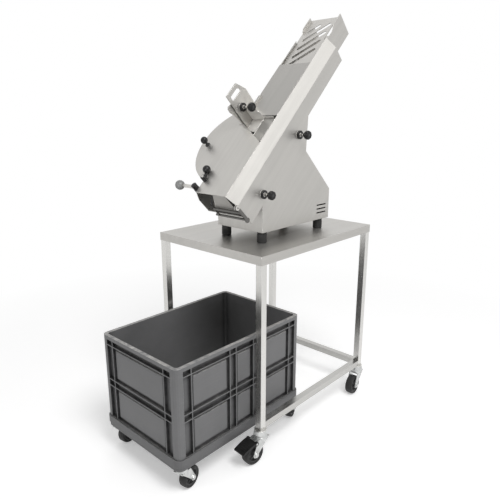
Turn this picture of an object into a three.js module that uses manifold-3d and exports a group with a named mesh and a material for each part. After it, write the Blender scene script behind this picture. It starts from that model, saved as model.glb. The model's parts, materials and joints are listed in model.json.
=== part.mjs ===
// Gravity-fed disc slicer for rolls and bagels, on a wheeled stand with a crate on a dolly under its outlet.
// Millimetres, +Z up. +X runs from the outlet side to the back of the machine, +Y away from the knob side.
import * as THREE from 'three';
import { mergeVertices, toCreasedNormals } from 'three/addons/utils/BufferGeometryUtils.js';
import Module from 'manifold-3d';

const wasm = await Module();
wasm.setup();

// Clearances and helpers shared by the whole machine
const fitGap = 0.3;
const runGap = 0.1;
const overrun = 5;
const half = 1 / 2;
const roundSteps = 18;
const smallSteps = 12;
const arcSteps = 2;
const hexSteps = 6;
const straightAngle = Math.PI;
const rightAngle = Math.PI / 2;
const fullTurn = Math.PI * 2;
const halfTurnDegrees = 180;

// Stand
const stand = {
  length: 670, bayClearance: 28.5, height: 750, sheet: 1.5, skirt: 30,
  legSide: 25, legWall: 2, footPlate: 44, footPlateThickness: 4, railSide: 25,
};

// Swivel castors of the stand
const standCastor = {
  wheelRadius: 40, wheelWidth: 30, height: 116, trail: 38, headRadius: 25, headHeight: 14, headTaper: 3,
  crownGap: 8, sheet: 3, sideGap: 2, axleRadius: 6, nutRadius: 9, nutHeight: 5, eyeRadius: 12,
};
const standCastorTurns = { near_left: 175, near_right: 186, far_left: 180, far_right: 190 };
const pedal = {
  width: 52, tongue: 26, reach: 62, drop: 20, thickness: 6, barrelRadius: 4, barrelAhead: 14, barrelDrop: 2,
  knee: 30,
};

// Swivel castors of the dolly
const dollyCastor = {
  wheelRadius: 37.5, wheelWidth: 28, height: 98, trail: 36, headRadius: 20, headHeight: 10, headTaper: 3,
  crownGap: 5, sheet: 3, sideGap: 2, axleRadius: 5, nutRadius: 8, nutHeight: 4, eyeRadius: 10,
};
const dollyCastorTurns = { near_left: 12, near_right: 22, far_left: 9, far_right: 16 };

// A wheel's section, as shares of its radius and of half its width
const hubRadiusShare = 0.3;
const tyreRadiusShare = 0.74;
const treadRadiusShare = 0.93;
const webWidthShare = 0.72;
const shoulderWidthShare = 0.62;

// Crate and the dolly tray that carries it
const crate = {
  length: 600, width: 400, height: 320, outFromStand: 312, sideShift: 3,
  ribDepth: 10, wall: 3, floor: 4, cornerRadius: 18, cornerWidth: 28,
  rimHeight: 13, rimRib: 31, ribThickness: 3.5, baseHeight: 8,
  middleRib: 155, middleRibGap: 24, groove: 31, centreGap: 82, centreGroove: 29,
};
const tray = {
  margin: 5, seatGap: 1.5, depth: 40, lip: 6, web: 5, wall: 4, radius: 24,
  castorInsetX: 28, castorInsetY: 24, padRadius: 25, ledgeHeight: 14, ledge: 3,
};

// Depth of the stand, with room for the dolly between its legs
const standDepth = crate.width + (tray.margin + stand.bayClearance + stand.legSide + stand.sheet) * 2;

// Base housing of the slicer
const base = {
  standX: 122, standY: 105, length: 396, width: 220, rearHeight: 115, waistX: 237, waistZ: 267, sheet: 2,
  panFlange: 18, footRadius: 18, footHeight: 40, footInset: 22, footRearInset: 41, footTaper: 2,
  ventLength: 60, ventHeight: 5, ventPitch: 15, ventLow: 24, ventRear: 20, ventCount: 3,
};

// Inclined chute: u runs up the slope, v stands on it, y runs across
const chute = {
  angle: 45, mouth: -9, top: 735, skirtHeight: 67.5, floorHeight: 103.5, foldHeight: 163.5, roofHeight: 208.5,
  width: 186, bevel: 23, sheet: 2, waist: 450,
};

// Disc blade and its drive
const blade = {
  u: 200, y: 157, v: 155, radius: 120, thickness: 1.6, teeth: 36, stepsPerTooth: 3, toothDepth: 1.6, boreRadius: 8,
  spindleRadius: 12, flangeRadius: 19, flangeHeight: 6, threadLength: 17, nutRadius: 18, nutHeight: 12, nutCap: 9,
  motorRadius: 50, motorLength: 135, motorFlangeRadius: 58, motorFlangeHeight: 8, motorBore: 42, motorRibCount: 2,
  ribDepth: 3, holeRadius: 16, slotGap: 8,
};

// Casing over the far part of the blade
const casing = { centreU: 214, radius: 177, centreY: 114, skirt: 74, lowerU: 56, slantFootU: 223, slantRun: 0.635, panGap: 2.5 };

// Fence and sliding guide beside the rolls
const fence = { y: 135, fromU: 62, toU: 372, flare: 98, top: 200, lowTop: 145 };
const guide = {
  fromU: 30, toU: 420, y: 5, top: 162, floorGap: 2, lowKnobU: 96, highKnobU: 366, knobV: 94.5,
  earWidth: 26, earDrop: 9, notchReach: 30, travel: 14,
};

// Upper cover, hopper and hold-down
const cover = { endU: 603, lowU: 345, flange: 10 };
const hopper = {
  top: 861, foot: 700, floorV: 123.5, plateV: 198.5, lipV: 213, lipFromU: 780, lipToU: 800, sideInset: 23,
  plateFromU: 592, nearGap: 16, slotCount: 4, slotPitch: 46, slotWidth: 15, slotFirstU: 607, slotFarY: 135,
  slotNearY: 57, shortSlotY: 104,
};
const holdDown = {
  fromU: 304, toU: 392, y: 145, plate: 4, top: 337, slotFromU: 317, slotToU: 369, slotLow: 303, slotHigh: 322,
  cutU: 24, cutV: 46, footNear: 36, footEdge: 83, edgeDrop: 10, footFromU: 285, footToU: 341, footLowU: 236, footV: 196,
  screwU: 334, screwV: 260, bossRadius: 15, bossHeight: 8, knobStandOff: 31, down: 25, up: 6,
};
const bracket = { fromU: 322, toU: 440, foot: 8, plate: 3, low: 3, high: 274, cheekU: 385 };

// Grips
const knob = { stemRadius: 5, headRadius: 15.5, headLength: 24, standOff: 23, bossRadius: 15, bossHeight: 8, edge: 4 };
const ballKnob = { u: 198, y: 258, radius: 13, stemRadius: 5, stemHeight: 24, footRadius: 9, footHeight: 4 };
const latch = { pivotU: 44, pivotY: 154, ballU: 79, ballY: 164, ballRadius: 14, postRadius: 9, armWidth: 15, lift: 5 };
const lever = { hubU: 8, hubY: 174, hubRadius: 10.5, hubLow: 182, hubHigh: 228, rodRadius: 6.5, rodV: 215.5, rodEnd: 247 };
const leverBall = 17;
const outlet = {
  pivotV: 169, lugReach: 13, lugRadius: 9, pinRadius: 3, armWidth: 11, armThickness: 5, armFoot: 97, barHighV: 136,
  barLowV: 101, barRadius: 4, highBarEnd: 127, lowBarEnd: 140, flangeFarHigh: 82, flangeFarLow: 125,
};
const switches = {
  rearGap: 38, z: 40, length: 96, height: 60, depth: 42, buttonRadius: 11, buttonLength: 10, buttonPitch: 46,
  travel: 3, glandRadius: 9, glandLength: 18, collarRadius: 15, collarHeight: 3,
};

// Finishes
const steel = { color: 0xb4b2ad, roughness: 0.36, metalness: 0.9 };
const zinc = { color: 0xc4c6c6, roughness: 0.3, metalness: 0.95 };
const blackPlastic = { color: 0x161616, roughness: 0.5, metalness: 0 };
const rubber = { color: 0x1c1c1c, roughness: 0.75, metalness: 0 };
const greyPlastic = { color: 0x6f7072, roughness: 0.6, metalness: 0 };
const darkSteel = { color: 0x3c3c3c, roughness: 0.5, metalness: 0.6 };
const castIron = { color: 0x50555a, roughness: 0.6, metalness: 0.4 };
const green = { color: 0x1f7a3a, roughness: 0.45, metalness: 0 };
const red = { color: 0xb0201c, roughness: 0.45, metalness: 0 };

// Solid modelling helpers

function toSolid(geometry) {
  const bare = geometry.clone();
  bare.deleteAttribute('normal');
  bare.deleteAttribute('uv');
  const merged = mergeVertices(bare);
  return new wasm.Manifold(new wasm.Mesh({
    numProp: 3,
    vertProperties: new Float32Array(merged.attributes.position.array),
    triVerts: new Uint32Array(merged.index.array),
  }));
}

function toGeometry(manifold) {
  const mesh = manifold.getMesh();
  const geometry = new THREE.BufferGeometry();
  geometry.setAttribute('position', new THREE.BufferAttribute(mesh.vertProperties, 3));
  geometry.setIndex(new THREE.BufferAttribute(mesh.triVerts, 1));
  return geometry;
}

function join(...geometries) {
  return toGeometry(geometries.map(toSolid).reduce((whole, next) => whole.add(next)));
}

function cut(body, ...tools) {
  return toGeometry(tools.map(toSolid).reduce((whole, next) => whole.subtract(next), toSolid(body)));
}

function block(x0, x1, y0, y1, z0, z1) {
  const box = new THREE.BoxGeometry(x1 - x0, y1 - y0, z1 - z0);
  return box.translate((x0 + x1) * half, (y0 + y1) * half, (z0 + z1) * half);
}

function polygon(points) {
  return new THREE.Shape(points.map(([x, y]) => new THREE.Vector2(x, y)));
}

function prism(shape, depth, curveSegments = roundSteps) {
  return new THREE.ExtrudeGeometry(shape, { depth, bevelEnabled: false, curveSegments });
}

// An outline in x and z, given thickness from y0 to y1
function upright(shape, y0, y1, curveSegments = roundSteps) {
  return prism(shape, y1 - y0, curveSegments).rotateX(rightAngle).translate(0, y1, 0);
}

// An outline in y and z, given length from x0 to x1
function lengthwise(shape, x0, x1) {
  return prism(shape, x1 - x0).rotateX(rightAngle).rotateZ(rightAngle).translate(x0, 0, 0);
}

// A turned piece standing on the z axis; its profile is a list of radius and height
function turned(profile, steps = roundSteps) {
  const closed = profile.map(([r, z]) => new THREE.Vector2(r, z));
  return new THREE.LatheGeometry(closed, steps).rotateX(rightAngle);
}

function rod(radius, z0, z1, steps = smallSteps) {
  return turned([[0, z0], [radius, z0], [radius, z1], [0, z1]], steps);
}

function rodAcross(radius, x, z, y0, y1, steps = smallSteps) {
  return rod(radius, y0, y1, steps).rotateX(-rightAngle).translate(x, 0, z);
}

// Radius of a faceted hole whose flats clear a round shaft at any turn
function boreRadius(shaft, steps = smallSteps) {
  return (shaft + runGap) / Math.cos(straightAngle / steps);
}

function ball(radius, steps = smallSteps) {
  return new THREE.SphereGeometry(radius, steps, steps * half);
}

function roundedRectangle(x0, x1, y0, y1, radius) {
  const shape = new THREE.Shape();
  shape.absarc(x1 - radius, y0 + radius, radius, -rightAngle, 0);
  shape.absarc(x1 - radius, y1 - radius, radius, 0, rightAngle);
  shape.absarc(x0 + radius, y1 - radius, radius, rightAngle, straightAngle);
  shape.absarc(x0 + radius, y0 + radius, radius, straightAngle, straightAngle + rightAngle);
  return shape;
}

function roundedBlock(x0, x1, y0, y1, z0, z1, radius) {
  return prism(roundedRectangle(x0, x1, y0, y1, radius), z1 - z0, arcSteps).translate(0, 0, z0);
}

function addPiece(parent, name, geometry, finish) {
  const mesh = new THREE.Mesh(toCreasedNormals(geometry), new THREE.MeshStandardMaterial(finish));
  mesh.name = name;
  parent.add(mesh);
  return mesh;
}

function groupAt(parent, x, y, z, turnDegrees = 0) {
  const group = new THREE.Group();
  group.position.set(x, y, z);
  group.rotation.z = THREE.MathUtils.degToRad(turnDegrees);
  parent.add(group);
  return group;
}

// Swivel castor: the swivel axis is z, the wheel trails towards -x, the floor is z = 0

function crownHeight(c) {
  return c.wheelRadius * 2 + c.crownGap;
}

function forkGeometry(c, hasPedal) {
  const crownZ = crownHeight(c);
  const innerY = c.wheelWidth * half + c.sideGap;
  const outerY = innerY + c.sheet;
  const cheek = new THREE.Shape();
  cheek.moveTo(c.headRadius, crownZ + c.sheet);
  cheek.lineTo(-c.trail + c.eyeRadius, c.wheelRadius);
  cheek.absarc(-c.trail, c.wheelRadius, c.eyeRadius, 0, -straightAngle, true);
  cheek.lineTo(-c.headRadius - c.sheet, crownZ + c.sheet);
  const cheeks = [innerY, -outerY].map((start) => upright(cheek, start, start + c.sheet, arcSteps * 2));
  const crown = block(-c.headRadius - c.sheet, c.headRadius, -outerY, outerY, crownZ, crownZ + c.sheet);
  const race = turned([
    [0, crownZ], [c.headRadius, crownZ], [c.headRadius, crownZ + c.headHeight],
    [c.headRadius - c.headTaper, c.height - fitGap], [0, c.height - fitGap],
  ]);
  const axle = rodAcross(c.axleRadius, -c.trail, c.wheelRadius, -outerY, outerY);
  const nutEnd = outerY + c.nutHeight;
  const nuts = [[-nutEnd, -outerY + c.sheet * half], [outerY - c.sheet * half, nutEnd]].map(([y0, y1]) => (
    rodAcross(c.nutRadius, -c.trail, c.wheelRadius, y0, y1, hexSteps)));
  const parts = [crown, ...cheeks, race, axle, ...nuts];
  if (hasPedal) {
    const [barrelX, barrelZ] = pedalAxis(c);
    const tongueY = pedal.tongue * half;
    parts.push(block(barrelX, -c.headRadius, -tongueY, tongueY, crownZ, crownZ + c.sheet));
    parts.push(rodAcross(pedal.barrelRadius, barrelX, barrelZ, -pedal.width * half, pedal.width * half));
  }
  return join(...parts);
}

function wheelGeometry(c) {
  const side = c.wheelWidth * half;
  const bore = boreRadius(c.axleRadius, roundSteps);
  const hub = c.wheelRadius * hubRadiusShare;
  const tyre = c.wheelRadius * tyreRadiusShare;
  const tread = c.wheelRadius * treadRadiusShare;
  const web = side * webWidthShare;
  const shoulder = side * shoulderWidthShare;
  const profile = [
    [bore, -side], [hub, -side], [tyre, -web], [tread, -side], [c.wheelRadius, -shoulder],
    [c.wheelRadius, shoulder], [tread, side], [tyre, web], [hub, side], [bore, side], [bore, -side],
  ];
  return turned(profile).rotateX(-rightAngle).translate(-c.trail, 0, c.wheelRadius);
}

// Where the brake pedal's pin sits on the castor, as x and z
function pedalAxis(c) {
  return [-c.headRadius - pedal.barrelAhead, crownHeight(c) - pedal.barrelDrop];
}

function pedalGeometry(c) {
  const [barrelX, barrelZ] = pedalAxis(c);
  const tipX = barrelX - pedal.reach;
  const tipZ = barrelZ - pedal.drop;
  const kneeX = barrelX - pedal.knee;
  const t = pedal.thickness;
  const outline = new THREE.Shape();
  outline.moveTo(barrelX + t, barrelZ + t);
  outline.lineTo(barrelX, barrelZ + t);
  outline.quadraticCurveTo(kneeX, barrelZ + t * half, tipX, tipZ + t);
  outline.lineTo(tipX, tipZ);
  outline.quadraticCurveTo(kneeX, barrelZ - t * half, barrelX - t, barrelZ - t * half);
  outline.lineTo(barrelX + t, barrelZ - t * half);
  const bore = rodAcross(boreRadius(pedal.barrelRadius), barrelX, barrelZ, -pedal.width, pedal.width);
  const tongueY = pedal.tongue * half + fitGap;
  const tongue = block(barrelX - pedal.barrelRadius - fitGap, barrelX + c.headRadius, -tongueY, tongueY,
    barrelZ - pedal.drop, barrelZ + pedal.drop);
  return cut(upright(outline, -pedal.width * half, pedal.width * half, arcSteps * 2), bore, tongue);
}

function addCastor(parent, prefix, corner, c, x, y, turn, hasPedal) {
  const castor = groupAt(parent, x, y, 0, turn + halfTurnDegrees);
  addPiece(castor, `${prefix}_fork_${corner}`, forkGeometry(c, hasPedal), zinc);
  addPiece(castor, `${prefix}_wheel_${corner}`, wheelGeometry(c), rubber);
  if (hasPedal) addPiece(castor, `${prefix}_pedal_${corner}`, pedalGeometry(c), blackPlastic);
}

// Stand

function addStand(parent) {
  const s = stand;
  const top = cut(
    block(0, s.length, 0, standDepth, s.height - s.skirt, s.height),
    block(s.sheet, s.length - s.sheet, s.sheet, standDepth - s.sheet, s.height - s.skirt - overrun, s.height - s.sheet),
  );
  addPiece(parent, 'tabletop', top, steel);

  const first = s.sheet;
  const lastX = s.length - s.sheet - s.legSide;
  const lastY = standDepth - s.sheet - s.legSide;
  const corners = {
    near_left: [first, first], near_right: [lastX, first], far_left: [first, lastY], far_right: [lastX, lastY],
  };
  const legFoot = standCastor.height + s.footPlateThickness;
  for (const [corner, [x, y]] of Object.entries(corners)) {
    const centreX = x + s.legSide * half;
    const centreY = y + s.legSide * half;
    const tube = cut(
      block(x, x + s.legSide, y, y + s.legSide, legFoot - overrun * half, s.height - s.sheet),
      block(x + s.legWall, x + s.legSide - s.legWall, y + s.legWall, y + s.legSide - s.legWall,
        legFoot + overrun, s.height),
    );
    const plate = rod(s.footPlate * half, standCastor.height, legFoot).translate(centreX, centreY, 0);
    addPiece(parent, `leg_${corner}`, join(tube, plate), steel);
    addCastor(parent, 'castor', corner, standCastor, centreX, centreY, standCastorTurns[corner],
      corner.endsWith('left'));
  }

  const railLow = legFoot;
  const railHigh = railLow + s.railSide;
  const legEnd = first + s.legSide;
  addPiece(parent, 'lower_rail_near', block(legEnd, lastX, first, legEnd, railLow, railHigh), steel);
  addPiece(parent, 'lower_rail_far', block(legEnd, lastX, lastY, lastY + s.legSide, railLow, railHigh), steel);
  addPiece(parent, 'lower_rail_right', block(lastX, lastX + s.legSide, legEnd, lastY, railLow, railHigh), steel);
}

// Crate on its dolly

function crateGeometry() {
  const c = crate;
  const deep = c.ribDepth;
  const coreRadius = c.cornerRadius - deep * half;
  const shell = roundedBlock(deep, c.length - deep, deep, c.width - deep, 0, c.height, coreRadius);
  const band = (z0, z1) => roundedBlock(0, c.length, 0, c.width, z0, z1, c.cornerRadius);
  const bands = [
    band(0, c.baseHeight), band(c.height - c.rimHeight, c.height),
    band(c.height - c.rimRib - c.ribThickness, c.height - c.rimRib),
    band(c.middleRib, c.middleRib + c.ribThickness),
    band(c.middleRib - c.middleRibGap, c.middleRib - c.middleRibGap + c.ribThickness),
  ];
  const outside = band(0, c.height);
  const columns = [
    block(-overrun, c.cornerWidth, -overrun, c.cornerWidth, 0, c.height),
    block(c.length - c.cornerWidth, c.length + overrun, -overrun, c.cornerWidth, 0, c.height),
    block(-overrun, c.cornerWidth, c.width - c.cornerWidth, c.width + overrun, 0, c.height),
    block(c.length - c.cornerWidth, c.length + overrun, c.width - c.cornerWidth, c.width + overrun, 0, c.height),
  ].map((corner) => toGeometry(toSolid(corner).intersect(toSolid(outside))));
  const endRib = c.cornerWidth + c.groove;
  const centre = c.centreGap * half;
  const longSide = [endRib, c.length - endRib - c.ribThickness];
  for (const offset of [centre, centre + c.centreGroove]) {
    longSide.push(c.length * half - offset - c.ribThickness, c.length * half + offset);
  }
  const shortSide = [endRib, c.width - endRib - c.ribThickness];
  const ribs = [
    ...longSide.map((x) => block(x, x + c.ribThickness, 0, c.width, 0, c.height)),
    ...shortSide.map((y) => block(0, c.length, y, y + c.ribThickness, 0, c.height)),
  ];
  const inset = deep + c.wall;
  const inside = roundedBlock(inset, c.length - inset, inset, c.width - inset, c.floor, c.height + overrun,
    coreRadius - c.wall);
  return cut(join(shell, ...bands, ...columns, ...ribs), inside);
}

// The four castor places under the tray, by name
function trayCorners() {
  const { castorInsetX: x, castorInsetY: y } = tray;
  return [
    ['near_left', x, y], ['near_right', crate.length - x, y], ['far_left', x, crate.width - y],
    ['far_right', crate.length - x, crate.width - y],
  ];
}

function trayGeometry() {
  const t = tray;
  const x0 = -t.margin;
  const x1 = crate.length + t.margin;
  const y0 = -t.margin;
  const y1 = crate.width + t.margin;
  const lower = roundedBlock(x0 + t.ledge, x1 - t.ledge, y0 + t.ledge, y1 - t.ledge, 0, t.depth, t.radius - t.ledge);
  const upper = roundedBlock(x0, x1, y0, y1, t.ledgeHeight, t.depth, t.radius);
  const seat = roundedBlock(-t.seatGap, crate.length + t.seatGap, -t.seatGap, crate.width + t.seatGap,
    t.depth - t.lip, t.depth + overrun, crate.cornerRadius + t.seatGap);
  const pocket = roundedBlock(x0 + t.ledge + t.wall, x1 - t.ledge - t.wall, y0 + t.ledge + t.wall, y1 - t.ledge - t.wall,
    -overrun, t.depth - t.lip - t.web, t.radius - t.ledge - t.wall);
  const hollow = cut(join(lower, upper), seat, pocket);
  const padTop = t.depth - t.lip - t.web * half;
  const pads = trayCorners().map(([, x, y]) => rod(t.padRadius, 0, padTop, roundSteps).translate(x, y, 0));
  return join(hollow, ...pads);
}

function addCrateOnDolly(parent) {
  const nearWall = stand.sheet + stand.legSide + stand.bayClearance + tray.margin + crate.sideShift;
  const dolly = groupAt(parent, -crate.outFromStand, nearWall, 0);
  const trayPiece = addPiece(dolly, 'dolly_tray', trayGeometry(), greyPlastic);
  trayPiece.position.z = dollyCastor.height;
  const cratePiece = addPiece(dolly, 'crate', crateGeometry(), greyPlastic);
  cratePiece.position.z = dollyCastor.height + tray.depth - tray.lip;
  for (const [corner, x, y] of trayCorners()) {
    addCastor(dolly, 'dolly', corner, dollyCastor, x, y, dollyCastorTurns[corner], false);
  }
}

// Slicer housing: its own origin is the base's near front lower corner, on top of the feet

const slope = THREE.MathUtils.degToRad(chute.angle);

// A place in the chute's u and v, as x and z of the housing
function onSlope(u, v) {
  return [u * Math.cos(slope) - v * Math.sin(slope), u * Math.sin(slope) + v * Math.cos(slope)];
}

// Where a line of height v over the slope meets the front of the base
function slopeAtFront(v) {
  return v / Math.cos(slope);
}

function sideOutline(topV, endU) {
  return [
    [0, 0], [base.length, 0], [base.length, base.rearHeight], [base.waistX, base.waistZ],
    onSlope(chute.waist, chute.floorHeight), onSlope(endU, chute.floorHeight), onSlope(endU, topV),
    onSlope(chute.mouth, topV), onSlope(chute.mouth, chute.skirtHeight), [0, slopeAtFront(chute.skirtHeight)],
  ];
}

// The near bevel as a section in y and v: a folded strip between the side panel and the roof
function bevelSection() {
  const t = chute.sheet;
  const { foldHeight, roofHeight, bevel } = chute;
  return polygon([
    [0, foldHeight - t], [t, foldHeight - t], [t, foldHeight], [bevel + t, roofHeight - t * half],
    [bevel + t * half, roofHeight], [bevel, roofHeight], [0, foldHeight],
  ]);
}

function mirroredAcrossChute(geometry) {
  const flipped = toSolid(geometry).mirror([0, 1, 0]);
  return toGeometry(flipped).translate(0, chute.width, 0);
}

// Turns a piece drawn in u, y and v into the housing's x, y and z
function tilted(geometry) {
  return geometry.rotateY(-slope);
}

function nearSideGeometry() {
  const t = base.sheet;
  const panel = upright(polygon(sideOutline(chute.foldHeight, chute.top)), 0, t);
  const bevel = tilted(lengthwise(bevelSection(), chute.mouth, chute.top));
  const lug = tilted(join(
    rodAcross(outlet.lugRadius, chute.mouth - outlet.lugReach * half, outlet.pivotV - outlet.lugRadius * half, 0, t),
    block(chute.mouth - outlet.lugReach * half, chute.mouth + overrun, 0, t,
      outlet.pivotV - outlet.lugRadius * 1.5, chute.foldHeight),
  ));
  const bosses = [guide.lowKnobU, guide.highKnobU].map((u) => (
    tilted(rodAcross(knob.bossRadius, u, guide.knobV, -knob.bossHeight, t * half, roundSteps))));
  const bores = [guide.lowKnobU, guide.highKnobU].map((u) => (
    tilted(rodAcross(boreRadius(knob.stemRadius), u, guide.knobV, -knob.bossHeight - overrun, t + overrun))));
  const pinHole = tilted(rodAcross(boreRadius(outlet.pinRadius), chute.mouth - outlet.lugReach * half,
    outlet.pivotV - outlet.lugRadius * half, -overrun, t + overrun));
  const vents = [];
  for (let i = 0; i < base.ventCount; i += 1) {
    const z = base.ventLow + i * base.ventPitch;
    const end = base.length - base.ventRear;
    vents.push(block(end - base.ventLength, end, -overrun, overrun, z, z + base.ventHeight));
  }
  return cut(join(panel, bevel, lug, ...bosses), ...bores, pinHole, ...vents);
}

function farSideGeometry() {
  const top = chute.floorHeight - chute.sheet - fitGap;
  const outline = [
    [0, 0], [base.length, 0], [base.length, base.rearHeight], [base.waistX, base.waistZ],
    onSlope(chute.waist, top), [0, slopeAtFront(top)],
  ];
  return upright(polygon(outline), base.width - base.sheet, base.width);
}

function rearPanelGeometry() {
  const t = base.sheet;
  const top = chute.floorHeight - chute.sheet - fitGap;
  const [topX, topZ] = onSlope(chute.waist, top);
  const outline = [
    [base.length, t], [base.length, base.rearHeight], [base.waistX, base.waistZ], [topX, topZ],
    [topX - t, topZ - t], [base.waistX - t, base.waistZ - t * half], [base.length - t, base.rearHeight - t * half],
    [base.length - t, t],
  ];
  return upright(polygon(outline), t, base.width - t);
}

function frontPanelGeometry() {
  const t = base.sheet;
  const top = slopeAtFront(chute.floorHeight - chute.sheet) - fitGap * 2;
  const notchLow = slopeAtFront(guide.knobV - guide.earDrop) - overrun;
  const notch = block(-overrun, t + overrun, 0, guide.y + guide.notchReach, notchLow, top + overrun);
  return cut(block(0, t, t, base.width - t, t, top), notch);
}

function basePanGeometry() {
  const t = base.sheet;
  const outer = block(0, base.length, t, base.width - t, 0, t);
  const flangeFront = block(t, t * 2, t, base.width - t, 0, base.panFlange);
  const flangeRear = block(base.length - t * 2, base.length - t, t, base.width - t, 0, base.panFlange);
  return join(outer, flangeFront, flangeRear);
}

function footGeometry() {
  const { footRadius: r, footHeight: h, footTaper: taper } = base;
  return turned([[0, -h], [r - taper, -h], [r, -h + taper * 2], [r, -fitGap], [0, -fitGap]]);
}

// Chute: everything from here to the outlet is drawn in u, y and v

function bladeSlot() {
  const reach = blade.radius + blade.slotGap;
  return block(blade.u - reach, blade.u + reach, fence.y - overrun, chute.width + overrun,
    blade.v - blade.slotGap, blade.v + blade.slotGap);
}

function chuteTrayGeometry() {
  const t = chute.sheet;
  const low = chute.floorHeight - t;
  const near = base.sheet + fitGap;
  const floor = block(chute.mouth, chute.top, near, chute.width, low, chute.floorHeight);
  const floorOverBase = block(chute.floorHeight, chute.waist, near, base.width, low, chute.floorHeight);
  const wall = block(chute.mouth, chute.top, chute.width - t, chute.width, low, chute.foldHeight);
  const bevel = mirroredAcrossChute(lengthwise(bevelSection(), chute.mouth, chute.top));
  const step = holdDown.footFromU - overrun;
  const fenceWall = block(fence.fromU, step, fence.y, fence.y + t, low, fence.top);
  const lowFence = block(step - t, fence.toU, fence.y, fence.y + t, low, fence.lowTop);
  const flareShape = polygon([
    [fence.toU, fence.y], [fence.toU + fence.flare, chute.width - t], [fence.toU + fence.flare, chute.width - t * half],
    [fence.toU - t, fence.y + t], [fence.toU - t, fence.y],
  ]);
  const flare = prism(flareShape, fence.lowTop - low).translate(0, 0, low);
  const shaftHole = rod(blade.holeRadius, low - overrun, chute.floorHeight + overrun)
    .translate(blade.u, blade.y, 0);
  const notches = [guide.lowKnobU, guide.highKnobU].map((u) => (
    block(u - guide.earWidth * half - runGap * 2, u + guide.earWidth * half + runGap * 2, 0,
      guide.y + guide.notchReach, low - overrun, chute.floorHeight + overrun)));
  return cut(join(floor, floorOverBase, wall, bevel, fenceWall, lowFence, flare), bladeSlot(), shaftHole, ...notches);
}

// Outline of the blade cover over the roof and the round casing, drawn smaller by inset
function casingOutline(inset) {
  const centre = new THREE.Vector2(casing.centreU, casing.centreY);
  const radius = casing.radius - inset;
  const far = (u) => centre.y + Math.sqrt(radius ** 2 - (u - centre.x) ** 2);
  const lowerU = casing.lowerU + inset;
  const lower = new THREE.Vector2(lowerU, far(lowerU));
  const slantU = (y) => casing.slantFootU - inset + (y - chute.bevel) * casing.slantRun;
  // where the slanted edge meets the round edge, from the line's distance to the centre
  const k = casing.slantRun;
  const offset = slantU(centre.y) - centre.x;
  const rise = (-k * offset + Math.sqrt(radius ** 2 * (1 + k ** 2) - offset ** 2)) / (1 + k ** 2);
  const upper = new THREE.Vector2(slantU(centre.y + rise), centre.y + rise);
  const upperAngle = Math.atan2(upper.y - centre.y, upper.x - centre.x);
  const lowerAngle = Math.atan2(lower.y - centre.y, lower.x - centre.x);
  return { centre, radius, lowerU, lower, upper, upperAngle, lowerAngle, slantU };
}

function coverShape() {
  const o = casingOutline(0);
  const ridge = chute.width - chute.bevel;
  const shape = new THREE.Shape();
  shape.moveTo(chute.mouth, chute.bevel);
  shape.lineTo(o.slantU(chute.bevel), chute.bevel);
  shape.lineTo(o.upper.x, o.upper.y);
  shape.absarc(o.centre.x, o.centre.y, o.radius, o.upperAngle, o.lowerAngle);
  shape.lineTo(o.lowerU, ridge);
  shape.lineTo(chute.mouth, ridge);
  return shape;
}

function skirtShape(inset) {
  const o = casingOutline(inset);
  const start = fence.y + inset;
  const shape = new THREE.Shape();
  shape.moveTo(o.lowerU, start);
  shape.lineTo(o.slantU(start), start);
  shape.lineTo(o.upper.x, o.upper.y);
  shape.absarc(o.centre.x, o.centre.y, o.radius, o.upperAngle, o.lowerAngle);
  return shape;
}

// The space that the chute's own walls take up, with a fitting gap
function chuteSpace() {
  const far = chute.width + fitGap;
  return lengthwise(polygon([
    [-overrun, chute.floorHeight - chute.sheet * 2], [far, chute.floorHeight - chute.sheet * 2],
    [far, chute.foldHeight], [chute.width - chute.bevel + fitGap, chute.roofHeight + fitGap],
    [-overrun, chute.roofHeight + fitGap],
  ]), chute.mouth - overrun, chute.top);
}

function bladeCoverGeometry() {
  const t = chute.sheet;
  const plateLow = chute.roofHeight + fitGap;
  const plate = prism(coverShape(), t, smallSteps).translate(0, 0, plateLow);
  const skirtLow = chute.roofHeight - casing.skirt;
  const ring = cut(
    prism(skirtShape(0), plateLow - skirtLow + t * half, smallSteps).translate(0, 0, skirtLow),
    prism(skirtShape(t), plateLow - skirtLow, smallSteps).translate(0, 0, skirtLow - overrun),
    block(chute.mouth, casing.centreU + casing.radius, fence.y - overrun, fence.y + t * 2, skirtLow, plateLow),
  );
  const skirt = cut(ring, chuteSpace());
  const inner = chute.bevel + t + fitGap;
  const endShape = polygon([
    [inner, plateLow + t * half], [inner, outlet.barHighV], [outlet.flangeFarLow, outlet.barHighV],
    [outlet.flangeFarHigh, plateLow + t * half],
  ]);
  const endFlange = lengthwise(endShape, chute.mouth, chute.mouth + t);
  return join(plate, skirt, endFlange);
}

function bladePanGeometry() {
  const t = chute.sheet;
  const o = casingOutline(casing.panGap);
  const start = chute.width + fitGap;
  const shape = new THREE.Shape();
  const startU = o.centre.x - Math.sqrt(o.radius ** 2 - (start - o.centre.y) ** 2);
  shape.moveTo(Math.max(startU, o.lowerU), start);
  shape.lineTo(o.slantU(start), start);
  shape.lineTo(o.upper.x, o.upper.y);
  shape.absarc(o.centre.x, o.centre.y, o.radius, o.upperAngle, o.lowerAngle);
  const low = chute.roofHeight - casing.skirt;
  const flange = block(o.lowerU, o.slantU(start), start, start + t, low - overrun * 2, low + t);
  return join(prism(shape, t, smallSteps).translate(0, 0, low), flange);
}

function chuteCoverGeometry() {
  const t = chute.sheet;
  const low = chute.roofHeight + fitGap;
  const nearY = chute.bevel;
  const farY = chute.width - chute.bevel;
  const plate = block(cover.lowU, cover.endU, nearY, farY, low, low + t);
  const flange = block(cover.endU - t, cover.endU, nearY + t + fitGap, farY - t - fitGap, low - cover.flange + t, low);
  const slot = block(cover.lowU - overrun, holdDown.toU + fitGap, holdDown.y - fitGap, holdDown.y + holdDown.plate + fitGap,
    low - overrun, low + overrun);
  return cut(join(plate, flange), slot);
}

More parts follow.
